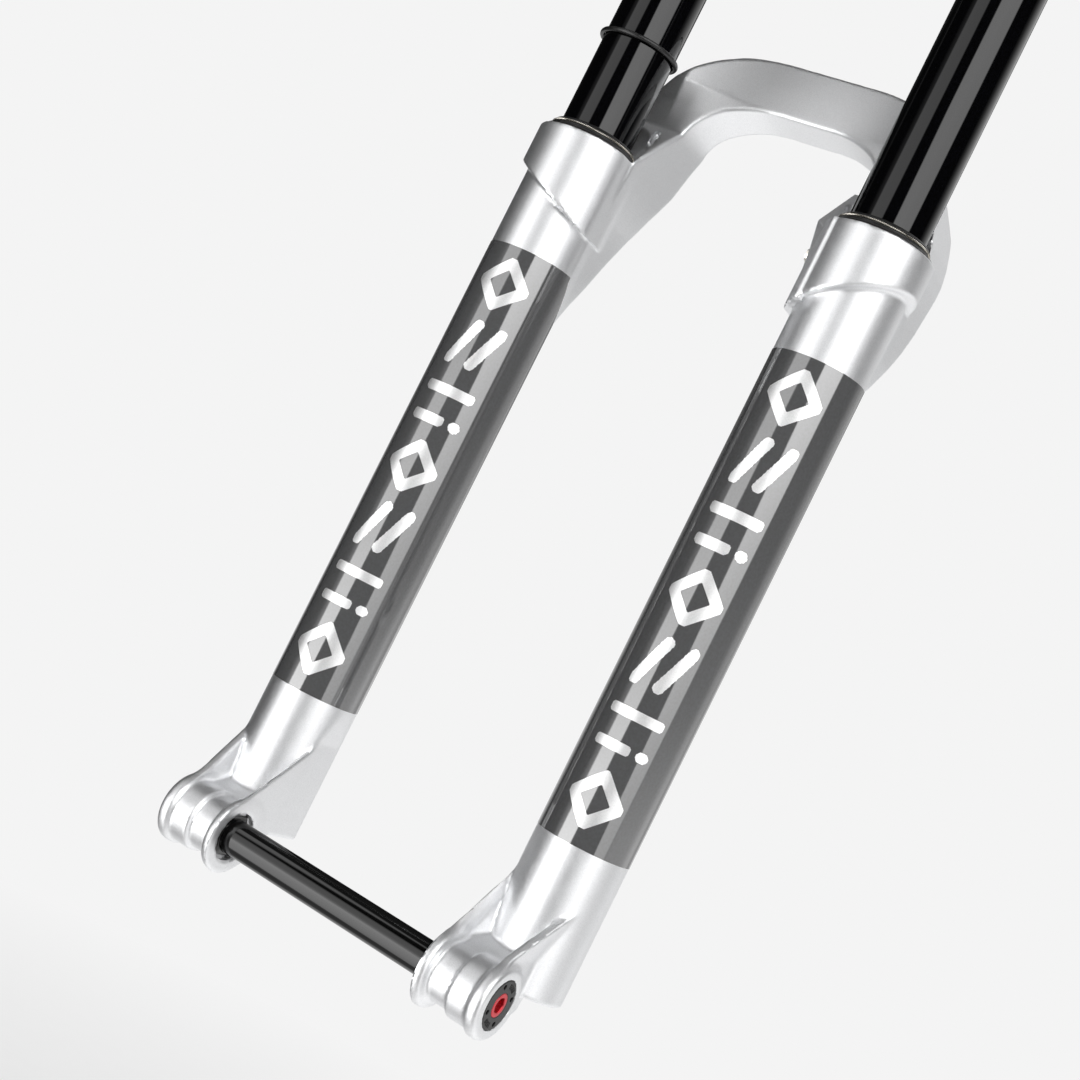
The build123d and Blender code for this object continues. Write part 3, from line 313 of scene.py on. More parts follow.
def arch_field(x, y, z):
    """The arch is where its front view and its side view overlap."""
    across = np.abs(x)
    # The lean grows with height and ends at the roots; above the arch's middle height it turns round.
    lean = ARCH_LEAN * (y - ARCH_MIDDLE_Y) * np.clip((z - 330) / 60, 0, 1)
    lean = lean * np.clip((403 - z) / 8, -1, 1) * np.clip((48 - across) / 10, 0, 1)
    bow = ARCH_BOW * np.minimum(across, ARCH_BOW_END) ** 2 * np.clip((z - 365) / 25, 0, 1)
    front = outline(x, z + ARCH_DROP * bow, ARCH_OUTLINE) - lean
    body = rounded(front, outline(y + bow, z, ARCH_SIDE), 1.6)
    # Shallow channel along the top of the rear face.
    past_end = np.maximum(across - ARCH_CHANNEL_END, 0)
    channel = np.sqrt((y - ARCH_CHANNEL[0]) ** 2 + (z - ARCH_CHANNEL[1]) ** 2 + past_end ** 2)
    body = smooth_max(body, ARCH_CHANNEL_R - channel, 2.5)
    room = np.maximum(np.hypot(across - LEG_X, y - LEG_Y) - WIPER_ROOM_R, COLLAR_TOP - z)
    body = smooth_max(body, -room, 0.6)
    # Small pocket in the root's upper face, beside the stanchion.
    return smooth_max(body, -rod(across, y, z, *ROOT_POCKET, ROOT_POCKET_R), 0.4)


def casting_field(x, y, z):
    """Both lower legs, the arch that joins them and the brake posts, with every bore cut."""
    across = np.abs(x)
    left = x > 0
    leg = leg_field(across, y, z)
    leg = smooth_min(leg, dropout_field(across, y, z), 1.2)
    # The inner side is one flat face down the dropout and runs out on the round leg above it.
    run_out = (HUB_FACE - LEG_FLAT) * np.clip((z - 48) / 20, 0, 1)
    flat = np.where(z > COLLAR_FLAT_LOW, COLLAR_FLAT, HUB_FACE - run_out)
    leg = smooth_max(leg, flat - across, 0.8)
    shape = smooth_min(leg, arch_field(x, y, z), 1.4)
    from_bead = np.hypot(x - COLLAR_BEAD[0], y - COLLAR_BEAD[1])
    bead = rounded(from_bead - COLLAR_BEAD_R, slab(z, COLLAR_BEAD_LOW, COLLAR_TOP), 0.5)
    shape = smooth_min(shape, bead, 0.6)
    # The foot is cut flat behind the dropout.
    shape = np.where(y < FOOT_FRONT_Y, shape, np.maximum(shape, LEG_BOTTOM - z))
    # Brake posts on the left leg.
    rib = rounded(outline(y, z, POST_RIB), slab(x, POST_X - 2.5, POST_X + 4.5), 1.0)
    shape = smooth_min(shape, rib, 3.0)
    for height in POST_Z:
        from_post = np.hypot(x - POST_X, z - height)
        post = rounded(from_post - POST_R, slab(y, LEG_Y, POST_FACE), 0.8)
        shape = smooth_min(shape, post, 3.0)
        shape = np.maximum(shape, -np.maximum(from_post - POST_HOLE_R, POST_FACE - POST_HOLE_DEPTH - y))
    # Bore, wiper seat, foot recess and foot hole on each leg's axis.
    radius = np.hypot(across - LEG_X, y - LEG_Y)
    bore_r = np.where(z > FOOT_BORE_TOP, BORE_R, FOOT_BORE_R)
    bore = np.maximum(radius - bore_r, FLOOR_TOP - z)
    seat = np.maximum(radius - WIPER_SEAT_R, COLLAR_TOP - WIPER_DEPTH - z)
    recess = np.maximum(radius - FOOT_RECESS_R, z - FOOT_RECESS_TOP)
    hole = np.where(left, radius - FOOT_BOLT_R, radius - REBOUND_ROD_R)
    axis_cuts = np.minimum(np.minimum(bore, seat), np.minimum(recess, hole))
    above = np.maximum(radius - WIPER_ROOM_R, COLLAR_TOP - z)
    shape = np.maximum(shape, -np.minimum(axis_cuts, above))
    # Axle holes: hub recess, then a stepped round hole (left) or a hexagonal one (right).
    from_axle = np.hypot(y, z)
    hub_seat = np.maximum(from_axle - HUB_SEAT_R, across - HUB_FACE - HUB_SEAT_DEPTH)
    head_room = np.maximum(from_axle - INSERT_R, DROPOUT_OUT - INSERT_HEAD - x)
    round_hole = np.minimum(from_axle - INSERT_THREAD_R, head_room)
    hexagon = from_axle * 0 - 1e3
    for degrees in (30, 90, 150):
        angle = math.radians(degrees)
        flats = np.abs(y * math.cos(angle) + z * math.sin(angle)) - AXLE_HEX / 2 - 0.05
        hexagon = np.maximum(hexagon, flats)
    holes = np.minimum(hub_seat, np.where(left, round_hole, hexagon))
    return smooth_max(shape, -np.where(across > 40, holes, 1e3), 0.5)


def casting_mesh():
    """The casting on a grid that is fine round the dropouts, collars and arch."""
    xs = np.array(spaced(-100, -46, FINE) + spaced(-46, 46, 2 * FINE) + spaced(46, 101, FINE))
    ys = np.array(spaced(-19, 97, FINE))
    zs = np.array(
        spaced(-19, 64, FINE) + spaced(64, 138, 2.5 * FINE) + spaced(138, 246, COARSE)
        + spaced(246, 292, 1.5 * FINE) + spaced(292, 422, FINE)
    )
    return field_mesh("lower_casting_body", casting_field, xs, ys, zs)


# ================================================================ crown, decals and small parts
SOCKET_R, BOSS_R = 22.5, 24.0
ARM_FRONT_Y, ARM_REAR_Y = 17.0, 46.5


def crown_field(x, y, z):
    """Forged crown: two stanchion sockets and the steerer's boss, joined by arched arms."""
    low, high = crown_low[2], crown_high[2]
    across = np.abs(x)
    from_leg = np.hypot(across - LEG_X, y - LEG_Y)
    from_steerer = np.hypot(x, y - STEERER_Y)
    sockets = rounded(from_leg - SOCKET_R, slab(z, low, high), 1.8)
    boss = rounded(from_steerer - BOSS_R, slab(z, low + 12, high), 1.8)
    front = ARM_FRONT_Y + 8.0 * np.clip((LEG_X - across) / 51, 0, 1)
    rear = ARM_REAR_Y + 10.0 * np.clip((LEG_X - across) / 55, 0, 1)
    underside = low + 6.0 + 10.0 * np.clip(1 - (across / 58) ** 2, 0, 1)
    arms = rounded(slab(y, front, rear), slab(z, underside, high - 2), 5.0)
    arms = np.maximum(arms, across - LEG_X)
    shape = smooth_min(smooth_min(arms, sockets, 9.0), boss, 9.0)
    shape = smooth_max(shape, slab(z, low, high), 0.8)
    bores = np.minimum(from_leg - STANCHION_R, from_steerer - PRESSED_R)
    return smooth_max(shape, -bores, 0.6)


MARK_PITCH = 29.5
MARK_TOP = 262.0
MARK_ANGLE = math.radians(12)     # the marks face this far round from the front
STROKE = 2.6                      # half the width of a mark's strokes
DIAMOND = [((0, 10), (10, 0)), ((10, 0), (0, -10)), ((0, -10), (-10, 0)), ((-10, 0), (0, 10))]
SLANTS = [((-8, -9), (-1, 9)), ((3, -9), (10, 9))]
BARS = [((-10, 7), (10, 7)), ((-10, -7), (2, -7)), ((9, -7), (9.5, -7))]
MARKS = [DIAMOND, SLANTS, BARS, DIAMOND, SLANTS, BARS, DIAMOND]


def marks_field(u, v, w):
    """Seven plain silver marks down a leg, laid flat: u round the leg, v up it, w outwards."""
    nearest = u * 0 + v * 0 + 1e3
    for count, mark in enumerate(MARKS):
        middle = MARK_TOP - count * MARK_PITCH
        for (u0, v0), (u1, v1) in mark:
            du, dv = u1 - u0, v1 - v0
            along = np.clip(((u - u0) * du + (v - middle - v0) * dv) / (du * du + dv * dv), 0, 1)
            nearest = np.minimum(nearest, np.hypot(u - u0 - du * along, v - middle - v0 - dv * along))
    return np.maximum(nearest - STROKE, np.abs(w) - 0.06)


def marks_mesh(name, side):
    """The marks wrapped round a leg, just on top of its film."""
    step = 2 * FINE / 3
    us, vs = np.arange(-14, 14.1, step), np.arange(MARK_TOP - 7 * MARK_PITCH, MARK_TOP + 14, step)
    mesh = field_mesh(name, marks_field, us, vs, np.array([-0.2, -0.1, 0.0, 0.1, 0.2]))
    for vertex in mesh.vertices:
        u, v, w = vertex.co / MM
        radius = LEG_R + FILM + w
        angle = MARK_ANGLE + u / LEG_R
        around = Vector((radius * math.sin(angle), -radius * math.cos(angle), v))
        vertex.co = (Vector((side * LEG_X, LEG_Y, 0)) + around) * MM
    return mesh


def decal_mesh(name, side):
    """Film round a leg; where the casting's arch tail or brake posts stand on it, it is left out."""
    turns, rows = 180, 216
    angles = np.linspace(0, 2 * math.pi, turns, endpoint=False)
    heights = np.linspace(decal_low[2], decal_high[2], rows)
    angle, height = np.meshgrid(angles, heights)
    radius = LEG_R + FILM
    x = side * LEG_X + radius * np.cos(angle)
    y = LEG_Y + radius * np.sin(angle)
    buried = casting_field(x, y, height) < -0.6
    keep = ~(
        buried[:-1] & buried[1:] & np.roll(buried, -1, 1)[:-1] & np.roll(buried, -1, 1)[1:]
    )
    outer = np.stack([x, y, height], axis=2).reshape(-1, 3)
    inner_r = LEG_R - 0.05
    inner = np.stack(
        [side * LEG_X + inner_r * np.cos(angle), LEG_Y + inner_r * np.sin(angle), height], axis=2
    ).reshape(-1, 3)
    count = turns * rows
    faces, edges = [], {}
    for row, column in zip(*np.nonzero(keep)):
        after = (column + 1) % turns
        low, high = row * turns, (row + 1) * turns
        quad = [low + column, low + after, high + after, high + column]
        faces.append(quad)
        faces.append([v + count for v in reversed(quad)])
        for a, b in zip(quad, quad[1:] + quad[:1]):
            edges[(a, b)] = True
    rim = [(a, b) for a, b in edges if (b, a) not in edges]
    faces += [[b, a, a + count, b + count] for a, b in rim]
    mesh = bpy.data.meshes.new(name)
    mesh.from_pydata((np.vstack([outer, inner]) * MM).tolist(), [], [[int(v) for v in f] for f in faces])
    return tidy(mesh)


PIN_CIRCLE_R, PIN_R, PIN_DEPTH = 8.2, 1.0, 3.0
TICK_R, TICK_DEPTH = 0.28, 0.25


def insert_field(x, y, z):
    """Threaded insert in the left dropout, with four pin-spanner holes and some plain ticks."""
    from_axle = np.hypot(y, z)
    body = rounded(from_axle - INSERT_THREAD_R, slab(x, insert_low[0], DROPOUT_OUT - 5), 0.3)
    head = rounded(from_axle - INSERT_R, slab(x, DROPOUT_OUT - INSERT_HEAD, DROPOUT_OUT), 0.35)
    shape = np.minimum(body, head)
    # The axle's bore, the bolt's hole, and the wider recess round the bolt's head.
    bore = np.minimum(np.maximum(from_axle - 7.55, x - DROPOUT_OUT + INSERT_HEAD), from_axle - 4.0)
    bore = np.minimum(bore, np.maximum(from_axle - 5.15, DROPOUT_OUT - 4.3 - x))
    for degrees in (20, 110, 200, 290):
        angle = math.radians(degrees)
        hole = np.hypot(y - PIN_CIRCLE_R * math.cos(angle), z - PIN_CIRCLE_R * math.sin(angle)) - PIN_R
        bore = np.minimum(bore, np.maximum(hole, DROPOUT_OUT - PIN_DEPTH - x))
    # Ticks are short shallow grooves between the holes.
    for start in (65, 245):
        for step in range(-2, 3):
            angle = math.radians(start + 8 * step)
            along = np.clip(y * math.cos(angle) + z * math.sin(angle), 7.4, 9.1)
            tick = np.hypot(y - along * math.cos(angle), z - along * math.sin(angle)) - TICK_R
            bore = np.minimum(bore, np.maximum(tick, DROPOUT_OUT - TICK_DEPTH - x))
    return smooth_max(shape, -bore, 0.25)


GUIDE_PLAN = [(53, 32), (49, 32), (42.2, 36), (42.2, 58), (53, 58)]
GUIDE_FRONT = [(53, 304), (49, 304), (45.4, 327), (42, 341), (42, 370), (53, 370)]
GUIDE_SCREW = (39.0, 325.0)
GUIDE_TOP, GUIDE_RISE = (30.0, 334.0), 1.033     # the sloping top passes here and rises so steeply
GUIDE_BACK_R = 24.0                              # its back follows the collar
HOSE_CENTRE, HOSE_R = (47.6, 49.0), 2.6
SCREW_HOLE_R, SCREW_SEAT_R, SCREW_SEAT_X = 2.0, 3.1, 46.0


def guide_field(x, y, z):
    """Hose guide: a block with a sloping top and a channel for the brake hose."""
    block = rounded(outline(x, z, GUIDE_FRONT), outline(x, y, GUIDE_PLAN), 0.6)
    above_top = z - GUIDE_TOP[1] - GUIDE_RISE * (y - GUIDE_TOP[0])
    block = rounded(block, above_top / math.hypot(1, GUIDE_RISE), 0.6)
    channel = np.hypot(x - HOSE_CENTRE[0], y - HOSE_CENTRE[1]) - HOSE_R
    from_screw = np.hypot(y - GUIDE_SCREW[0], z - GUIDE_SCREW[1])
    seat = np.minimum(from_screw - SCREW_HOLE_R, np.maximum(from_screw - SCREW_SEAT_R, x - SCREW_SEAT_X))
    block = smooth_max(block, -np.minimum(channel, seat), 0.4)
    return np.maximum(block, GUIDE_BACK_R - np.hypot(x - LEG_X, y - LEG_Y))


# ================================================================ turned parts
def softened(profile, radius):
    """The closed profile with its corners rounded; corners on the axis stay as they are."""
    points = np.array(profile, float)
    ring = []
    for before, corner, after in zip(np.roll(points, 1, 0), points, np.roll(points, -1, 0)):
        to_before, to_after = before - corner, after - corner
        lengths = np.linalg.norm(to_before), np.linalg.norm(to_after)
        if corner[0] < 1e-6:
            ring.append(corner)
            continue
        reach = min(radius, 0.42 * lengths[0], 0.42 * lengths[1])
        for t in (0, 0.35, 0.65, 1):
            bend = to_before / lengths[0] * (1 - t) ** 2 + to_after / lengths[1] * t ** 2
            ring.append(corner + reach * bend)
    return np.array(ring)


def flat_sided(angle, sides, flat):
    """Radius at an angle of a regular polygon whose flats are this far from its middle."""
    part = 2 * np.pi / sides
    return flat / np.cos(angle % part - part / 2)


def turned(name, profile, centre, axis="Z", corner=0.3, segments=144, shape=None):
    """Solid turned round an axis. profile holds (radius, place along the axis), in millimetres.

    shape(angle, radius, place) may return other radii, for flats, flutes and sockets.
    """
    ring = softened(profile, corner) if corner else np.array(profile, float)
    shifted = np.roll(ring, -1, 0)
    if (ring[:, 0] * shifted[:, 1] - shifted[:, 0] * ring[:, 1]).sum() < 0:
        ring = ring[::-1]
    angles = np.linspace(0, 2 * math.pi, segments, endpoint=False)
    points, rows = [], []
    for radius, place in ring:
        if radius < 1e-6:
            rows.append([len(points)] * segments)
            points.append((0, 0, place))
            continue
        radii = shape(angles, radius, place) if shape else radius + 0 * angles
        rows.append(list(range(len(points), len(points) + segments)))
        points += [(r * math.cos(a), r * math.sin(a), place) for r, a in zip(radii, angles)]
    faces = []
    for row, above in zip(rows, rows[1:] + rows[:1]):
        for i in range(segments):
            j = (i + 1) % segments
            corners = dict.fromkeys((row[i], row[j], above[j], above[i]))
            if len(corners) > 2:
                faces.append(list(corners))
    order = [0, 1, 2] if axis == "Z" else [2, 0, 1]
    points = np.array(points)[:, order] + np.array(centre)
    mesh = bpy.data.meshes.new(name)
    mesh.from_pydata((points * MM).tolist(), [], faces)
    return tidy(mesh)


def coil_mesh(name, centres, ring_r, coil_r, wire_r, turns):
    """Garter springs: a wire wound into a ring."""
    steps, around = turns * 10, 6
    points, faces = [], []
    for cx, cy, cz in centres:
        base = len(points)
        for i in range(steps):
            ring = 2 * math.pi * i / steps
            wind = 2 * math.pi * turns * i / steps
            for j in range(around):
                spin = 2 * math.pi * j / around
                out = (coil_r + wire_r * math.cos(spin)) * math.cos(wind)
                rise = (coil_r + wire_r * math.cos(spin)) * math.sin(wind)
                along = wire_r * math.sin(spin)
                radius = ring_r + out
                points.append((
                    cx + radius * math.cos(ring) - along * math.sin(ring),
                    cy + radius * math.sin(ring) + along * math.cos(ring), cz + rise,
                ))
                a, b = base + i * around + j, base + i * around + (j + 1) % around
                after = base + (i + 1) % steps * around
                faces.append([a, b, after + (j + 1) % around, after + j])
    mesh = bpy.data.meshes.new(name)
    mesh.from_pydata((np.array(points) * MM).tolist(), [], faces)
    return tidy(mesh)


# ================================================================ finished pieces
def piece(mesh, body, slot, *nodes, finish=None):
    """A finished piece: it rides on a body, takes a material slot and may stand for CAD nodes."""
    obj = bpy.data.objects.new(mesh.name, mesh)
    bpy.context.scene.collection.objects.link(obj)
    mesh.materials.append(finish or MATERIALS[slot])
    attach(obj, body)
    if nodes:
        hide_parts(*nodes)
    return obj


# ================================================================ node graphs
class Graph:
    """Adds shader nodes; every method returns the new node's first output unless it says otherwise."""

    def __init__(self, tree):
        self.tree = tree

    def add(self, kind, inputs=(), **settings):
        """A new node. inputs maps socket names or numbers to plain values or to other outputs."""
        node = self.tree.nodes.new(kind)
        for key, value in settings.items():
            setattr(node, key, value)
        for socket, value in dict(inputs).items():
            if isinstance(value, bpy.types.NodeSocket):
                self.tree.links.new(value, node.inputs[socket])
            else:
                node.inputs[socket].default_value = value
        return node

    def math(self, operation, *values):
        return self.add("ShaderNodeMath", dict(enumerate(values)), operation=operation).outputs[0]

    def curve(self, value, stops):
        """Piecewise linear function of a value; stops are (value, result) from low to high."""
        low, high = stops[0][0], stops[-1][0]
        top = max(result for _, result in stops)
        share = self.add("ShaderNodeMapRange", {"Value": value, "From Min": low, "From Max": high})
        ramp = self.add("ShaderNodeValToRGB", {"Fac": share.outputs[0]})
        elements = ramp.color_ramp.elements
        elements[1].position = 1.0
        for at, _ in stops[1:-1]:
            elements.new((at - low) / (high - low))
        for element, (_, result) in zip(elements, stops):
            element.color = (result / top, result / top, result / top, 1)
        return self.math("MULTIPLY", ramp.outputs["Color"], top)


# ================================================================ materials
class Finish(Graph):
    """A node material round a Principled shader, with noise in object space to drive it."""

    def __init__(self, name, **inputs):
        self.material = bpy.data.materials.new(name)
        self.material.use_nodes = True
        super().__init__(self.material.node_tree)
        self.bsdf = self.tree.nodes["Principled BSDF"]
        self.place = self.add("ShaderNodeTexCoord").outputs["Object"]
        for key, value in inputs.items():
            socket = "IOR" if key == "ior" else key.replace("_", " ").title()
            self.bsdf.inputs[socket].default_value = value

    def noise(self, scale, detail=2.0, stretch=None):
        """Noise in object space, stretched by three factors when they are given."""
        place = self.place
        if stretch:
            place = self.add("ShaderNodeMapping", {"Vector": place, "Scale": stretch}).outputs[0]
        return self.add("ShaderNodeTexNoise", {"Vector": place, "Scale": scale, "Detail": detail}).outputs[0]

    def flakes(self, scale):
        """Grey value that jumps from flake to flake."""
        cells = self.add("ShaderNodeTexVoronoi", {"Vector": self.place, "Scale": scale})
        return self.add("ShaderNodeSeparateColor", {0: cells.outputs["Color"]}).outputs[0]

    def between(self, value, low, high):
        """A value about 0.3 to 0.7 becomes low to high."""
        inputs = {"Value": value, "From Min": 0.3, "From Max": 0.7, "To Min": low, "To Max": high}
        return self.add("ShaderNodeMapRange", inputs).outputs[0]

    def tint(self, value, dark, light):
        """Colour between dark and light, as the value goes."""
        share = self.between(value, 0.0, 1.0)
        return self.add(
            "ShaderNodeMix", {"Factor": share, "A": (*dark, 1), "B": (*light, 1)}, data_type="RGBA",
        ).outputs["Result"]

    def use(self, socket, value):
        """Feeds a value to one of the shader's own inputs."""
        self.tree.links.new(value, self.bsdf.inputs[socket])

    def bumps(self, *layers):
        """Stacks bump layers, each a (height value, height in metres)."""
        normal = None
        for height, distance in layers:
            inputs = {"Height": height, "Distance": distance}
            if normal:
                inputs["Normal"] = normal
            normal = self.add("ShaderNodeBump", inputs).outputs[0]
        self.use("Normal", normal)


def grey(value):
    """The same value in all three channels."""
    return (value, value, value)


def metallic_paint(name, dark, light, roughness, metallic, coat):
    """Silver paint: fine flakes in a slightly uneven coat."""
    paint = Finish(name, metallic=metallic, coat_weight=coat, coat_roughness=0.12)
    flakes = paint.flakes(5200.0)
    paint.use("Base Color", paint.tint(flakes, dark, light))
    paint.use("Roughness", paint.between(paint.noise(700.0, 4.0), roughness * 0.92, roughness * 1.08))
    paint.bumps((paint.noise(170.0), 0.00001), (flakes, 0.0000018))
    return paint.material


def gloss(name, dark, light, roughness, ior, waviness):
    """Smooth glossy coat with faint waves and very fine draw lines up the part."""
    coat = Finish(name, metallic=0.0, ior=ior)
    lines = coat.noise(1.0, 3.0, stretch=(2600.0, 2600.0, 40.0))
    coat.use("Base Color", coat.tint(coat.noise(900.0, 3.0), dark, light))
    coat.use("Roughness", coat.between(lines, roughness * 0.8, roughness * 1.25))
    coat.bumps((coat.noise(60.0), waviness), (lines, 0.0000004))
    return coat.material


def grained(name, dark, light, roughness, metallic, grain=0.000004):
    """Anodised, blasted or moulded surface with a fine grain."""
    skin = Finish(name, metallic=metallic)
    skin.use("Base Color", skin.tint(skin.noise(1600.0, 4.0), dark, light))
    skin.use("Roughness", skin.between(skin.noise(2400.0, 3.0), roughness * 0.85, roughness * 1.2))
    skin.bumps((skin.noise(3800.0), grain))
    return skin.material


MATERIALS = {
    "silver_paint": metallic_paint(
        "silver_paint", (0.78, 0.785, 0.795), (0.87, 0.875, 0.885), roughness=0.47, metallic=0.97, coat=0.0,
    ),
    "stanchion_black": gloss("stanchion_black", grey(0.0012), (0.0025, 0.0025, 0.0035), 0.05, 1.42, 0.000002),
    "axle_black": gloss("axle_black", grey(0.0018), grey(0.0035), 0.06, 1.48, 0.000003),
    "black_anodised": grained("black_anodised", grey(0.018), grey(0.034), 0.36, 0.6),
    "red_anodised": grained("red_anodised", (0.50, 0.02, 0.03), (0.64, 0.035, 0.05), 0.3, 0.75),
    "machined_aluminium": grained("machined_aluminium", grey(0.66), grey(0.76), 0.28, 1.0),
    "bushing_metal": grained("bushing_metal", (0.36, 0.34, 0.31), (0.46, 0.43, 0.40), 0.45, 1.0),
    "spring_steel": grained("spring_steel", (0.66, 0.63, 0.57), (0.78, 0.75, 0.69), 0.25, 1.0),
    "bare_brass": grained("bare_brass", (0.62, 0.48, 0.24), (0.72, 0.58, 0.32), 0.3, 1.0),
    "seal_rubber": grained("seal_rubber", grey(0.006), grey(0.014), 0.38, 0.0, 0.000006),
    "foam": grained("foam", grey(0.03), grey(0.06), 0.9, 0.0, 0.00003),
    "spacer_plastic": grained("spacer_plastic", (0.68, 0.36, 0.04), (0.78, 0.44, 0.06), 0.45, 0.0),
    "decal_grey": gloss("decal_grey", grey(0.098), (0.111, 0.112, 0.115), 0.04, 2.2, 0.000010),
}
MARK_SILVER = metallic_paint("decal_mark_silver", grey(0.82), grey(0.92), 0.48, 0.97, 0.5)

# CAD nodes that stay in view take the finish of their slot in the record.
for entry in frame["record"]["subparts"]:
    node = frame["nodes"][entry["node"]]
    node.data.materials.clear()
    node.data.materials.append(MATERIALS[entry["material_slot"]])


# ================================================================ the pieces
crown_top, crown_bottom = crown_high[2], crown_low[2]
piece(casting_mesh(), "lower_legs", "silver_paint", "lower_casting")
for side, word in ((1, "left"), (-1, "right")):
    piece(decal_mesh(f"decal_film_{word}", side), "lower_legs", "decal_grey", f"decal_{word}")
    piece(marks_mesh(f"decal_marks_{word}", side), "lower_legs", "decal_grey", finish=MARK_SILVER)
    tube = [
        (STANCHION_BORE_R, stanchion_low[2]), (STANCHION_R, stanchion_low[2]),
        (STANCHION_R, crown_top), (STANCHION_BORE_R, crown_top),
    ]
    piece(
        turned(f"stanchion_tube_{word}", tube, (side * LEG_X, LEG_Y, 0), corner=0.5, segments=192),
        "crown_unit", "stanchion_black", f"stanchion_{word}",
    )

# Crown with the steerer pressed into it.
crown_mesh = field_mesh(
    "crown_forging", crown_field, np.arange(-98, 98.5, 1.25 * FINE), np.arange(9.5, 70, 1.25 * FINE),
    np.arange(501, 553.5, 1.25 * FINE),
)
piece(crown_mesh, "crown_unit", "black_anodised", "crown")
steerer = [
    (16.0, crown_bottom + 12), (PRESSED_R, crown_bottom + 12), (PRESSED_R, crown_top), (19.9, crown_top),
    (19.9, crown_top + 6), (19.05, crown_top + 7), (14.3, crown_top + 89), (14.3, steerer_high[2]),
    (12.2, steerer_high[2]), (12.2, crown_top + 89), (16.0, crown_top + 6),
]
piece(
    turned("steerer_column", steerer, (0, STEERER_Y, 0), corner=0.4, segments=160),
    "crown_unit", "black_anodised", "steerer_tube",
)


# Wiper seals with their garter springs, and the travel O-ring.
rim, lip = COLLAR_TOP, wiper_high[2]
garter_low, garter_high = box_mm("garter_springs")
garter_z = (garter_low[2] + garter_high[2]) / 2
wiper = [
    (17.6, rim - WIPER_DEPTH), (WIPER_SEAT_R, rim - WIPER_DEPTH), (WIPER_SEAT_R, rim), (22.9, rim),
    (22.9, rim + 0.7), (22.2, rim + 1.4),
    (20.6, rim + 1.9), (20.3, garter_z - 0.6), (19.5, garter_z - 0.5), (19.3, garter_z),
    (19.5, garter_z + 0.5), (19.9, garter_z + 0.7), (19.2, lip - 0.5), (17.8, lip), (WIPER_LIP_R, lip),
    (WIPER_LIP_R, lip - 1.2), (17.6, lip - 3),
]
for side, word in ((1, "left"), (-1, "right")):
    nodes = ["wiper_seals"] if side == 1 else []
    piece(
        turned(f"wiper_{word}", wiper, (side * LEG_X, LEG_Y, 0), corner=0.35, segments=160),
        "lower_legs", "seal_rubber", *nodes,
    )
garter_centres = [(side * LEG_X, LEG_Y, garter_z) for side in (1, -1)]
piece(
    coil_mesh("garter_coils", garter_centres, 19.95, 0.38, 0.2, 150),
    "lower_legs", "spring_steel", "garter_springs",
)
ring_low, ring_high = box_mm("travel_o_ring")
ring_middle = (ring_low[2] + ring_high[2]) / 2
wire = (ring_high[2] - ring_low[2]) / 2
circle = [
    (WIPER_LIP_R + wire + wire * math.cos(a), ring_middle + wire * math.sin(a))
    for a in np.linspace(0, 2 * math.pi, 16, endpoint=False)
]
piece(
    turned("travel_marker_ring", circle, (-LEG_X, LEG_Y, 0), corner=0.0, segments=128),
    "o_ring", "seal_rubber", "travel_o_ring",
)

# Wheel axle, its insert and its end bolt.
axle_low, axle_high = box_mm("thru_axle")
head_in = -HUB_FACE - 2.0
axle = [
    (6.0, axle_low[0]), (AXLE_HEX / 2, axle_low[0]), (AXLE_HEX / 2, head_in), (AXLE_R, head_in),
    (AXLE_R, axle_high[0]), (3.95, axle_high[0]), (3.95, 58.0), (4.6, 56.0), (4.6, axle_low[0] + 13),
    (4.6, axle_low[0] + 12), (6.0, axle_low[0] + 12),
]


def hex_head(angle, radius, place):
    """The axle is round; everything wider is its hexagonal head."""
    if radius > AXLE_R + 0.1:
        return flat_sided(angle, 6, radius)
    return radius + 0 * angle


piece(
    turned("wheel_axle", axle, (0, 0, 0), "X", corner=0.45, segments=192, shape=hex_head),
    "axle", "axle_black", "thru_axle",
)
insert_mesh = field_mesh(
    "axle_insert_body", insert_field, np.array(spaced(58, 79, 1.0) + spaced(79, 87, 0.3)),
    np.arange(-11, 11.2, 0.3), np.arange(-11, 11.2, 0.3),
)
piece(insert_mesh, "lower_legs", "black_anodised", "axle_insert")
bolt_low, bolt_high = box_mm("axle_bolt")
bolt = [
    (0, bolt_low[0]), (3.9, bolt_low[0]), (3.9, 82.0), (5.1, 82.0), (5.1, bolt_high[0]), (3.2, bolt_high[0]),
    (3.0, bolt_high[0] - 0.3), (3.0, bolt_high[0] - 3.6), (0, bolt_high[0] - 3.6),
]


def hex_socket(angle, radius, place):
    """Hexagonal key socket in the bolt's outer end."""
    if 0.5 < radius < 3.3 and place > bolt_high[0] - 4:
        return flat_sided(angle, 6, radius)
    return radius + 0 * angle


piece(
    turned("axle_end_screw", bolt, (0, 0, 0), "X", corner=0.25, segments=120, shape=hex_socket),
    "axle_end_bolt", "red_anodised", "axle_bolt",
)

# Hose guide on the left collar.
guide_mesh = field_mesh(
    "hose_guide_block", guide_field, np.arange(40, 54.5, 0.5), np.arange(30.5, 60, 0.5),
    np.arange(302, 366, 0.6),
)
piece(guide_mesh, "lower_legs", "silver_paint", "hose_guide")

# Top caps and dials.
cap_top = crown_top + 3.5


def octagon_cap(angle, radius, place):
    """Eight wrench flats on a top cap's upper part."""
    if radius > 16 and place > crown_top + 1.2:
        return np.minimum(radius, flat_sided(angle, 8, 18.8))
    return radius + 0 * angle


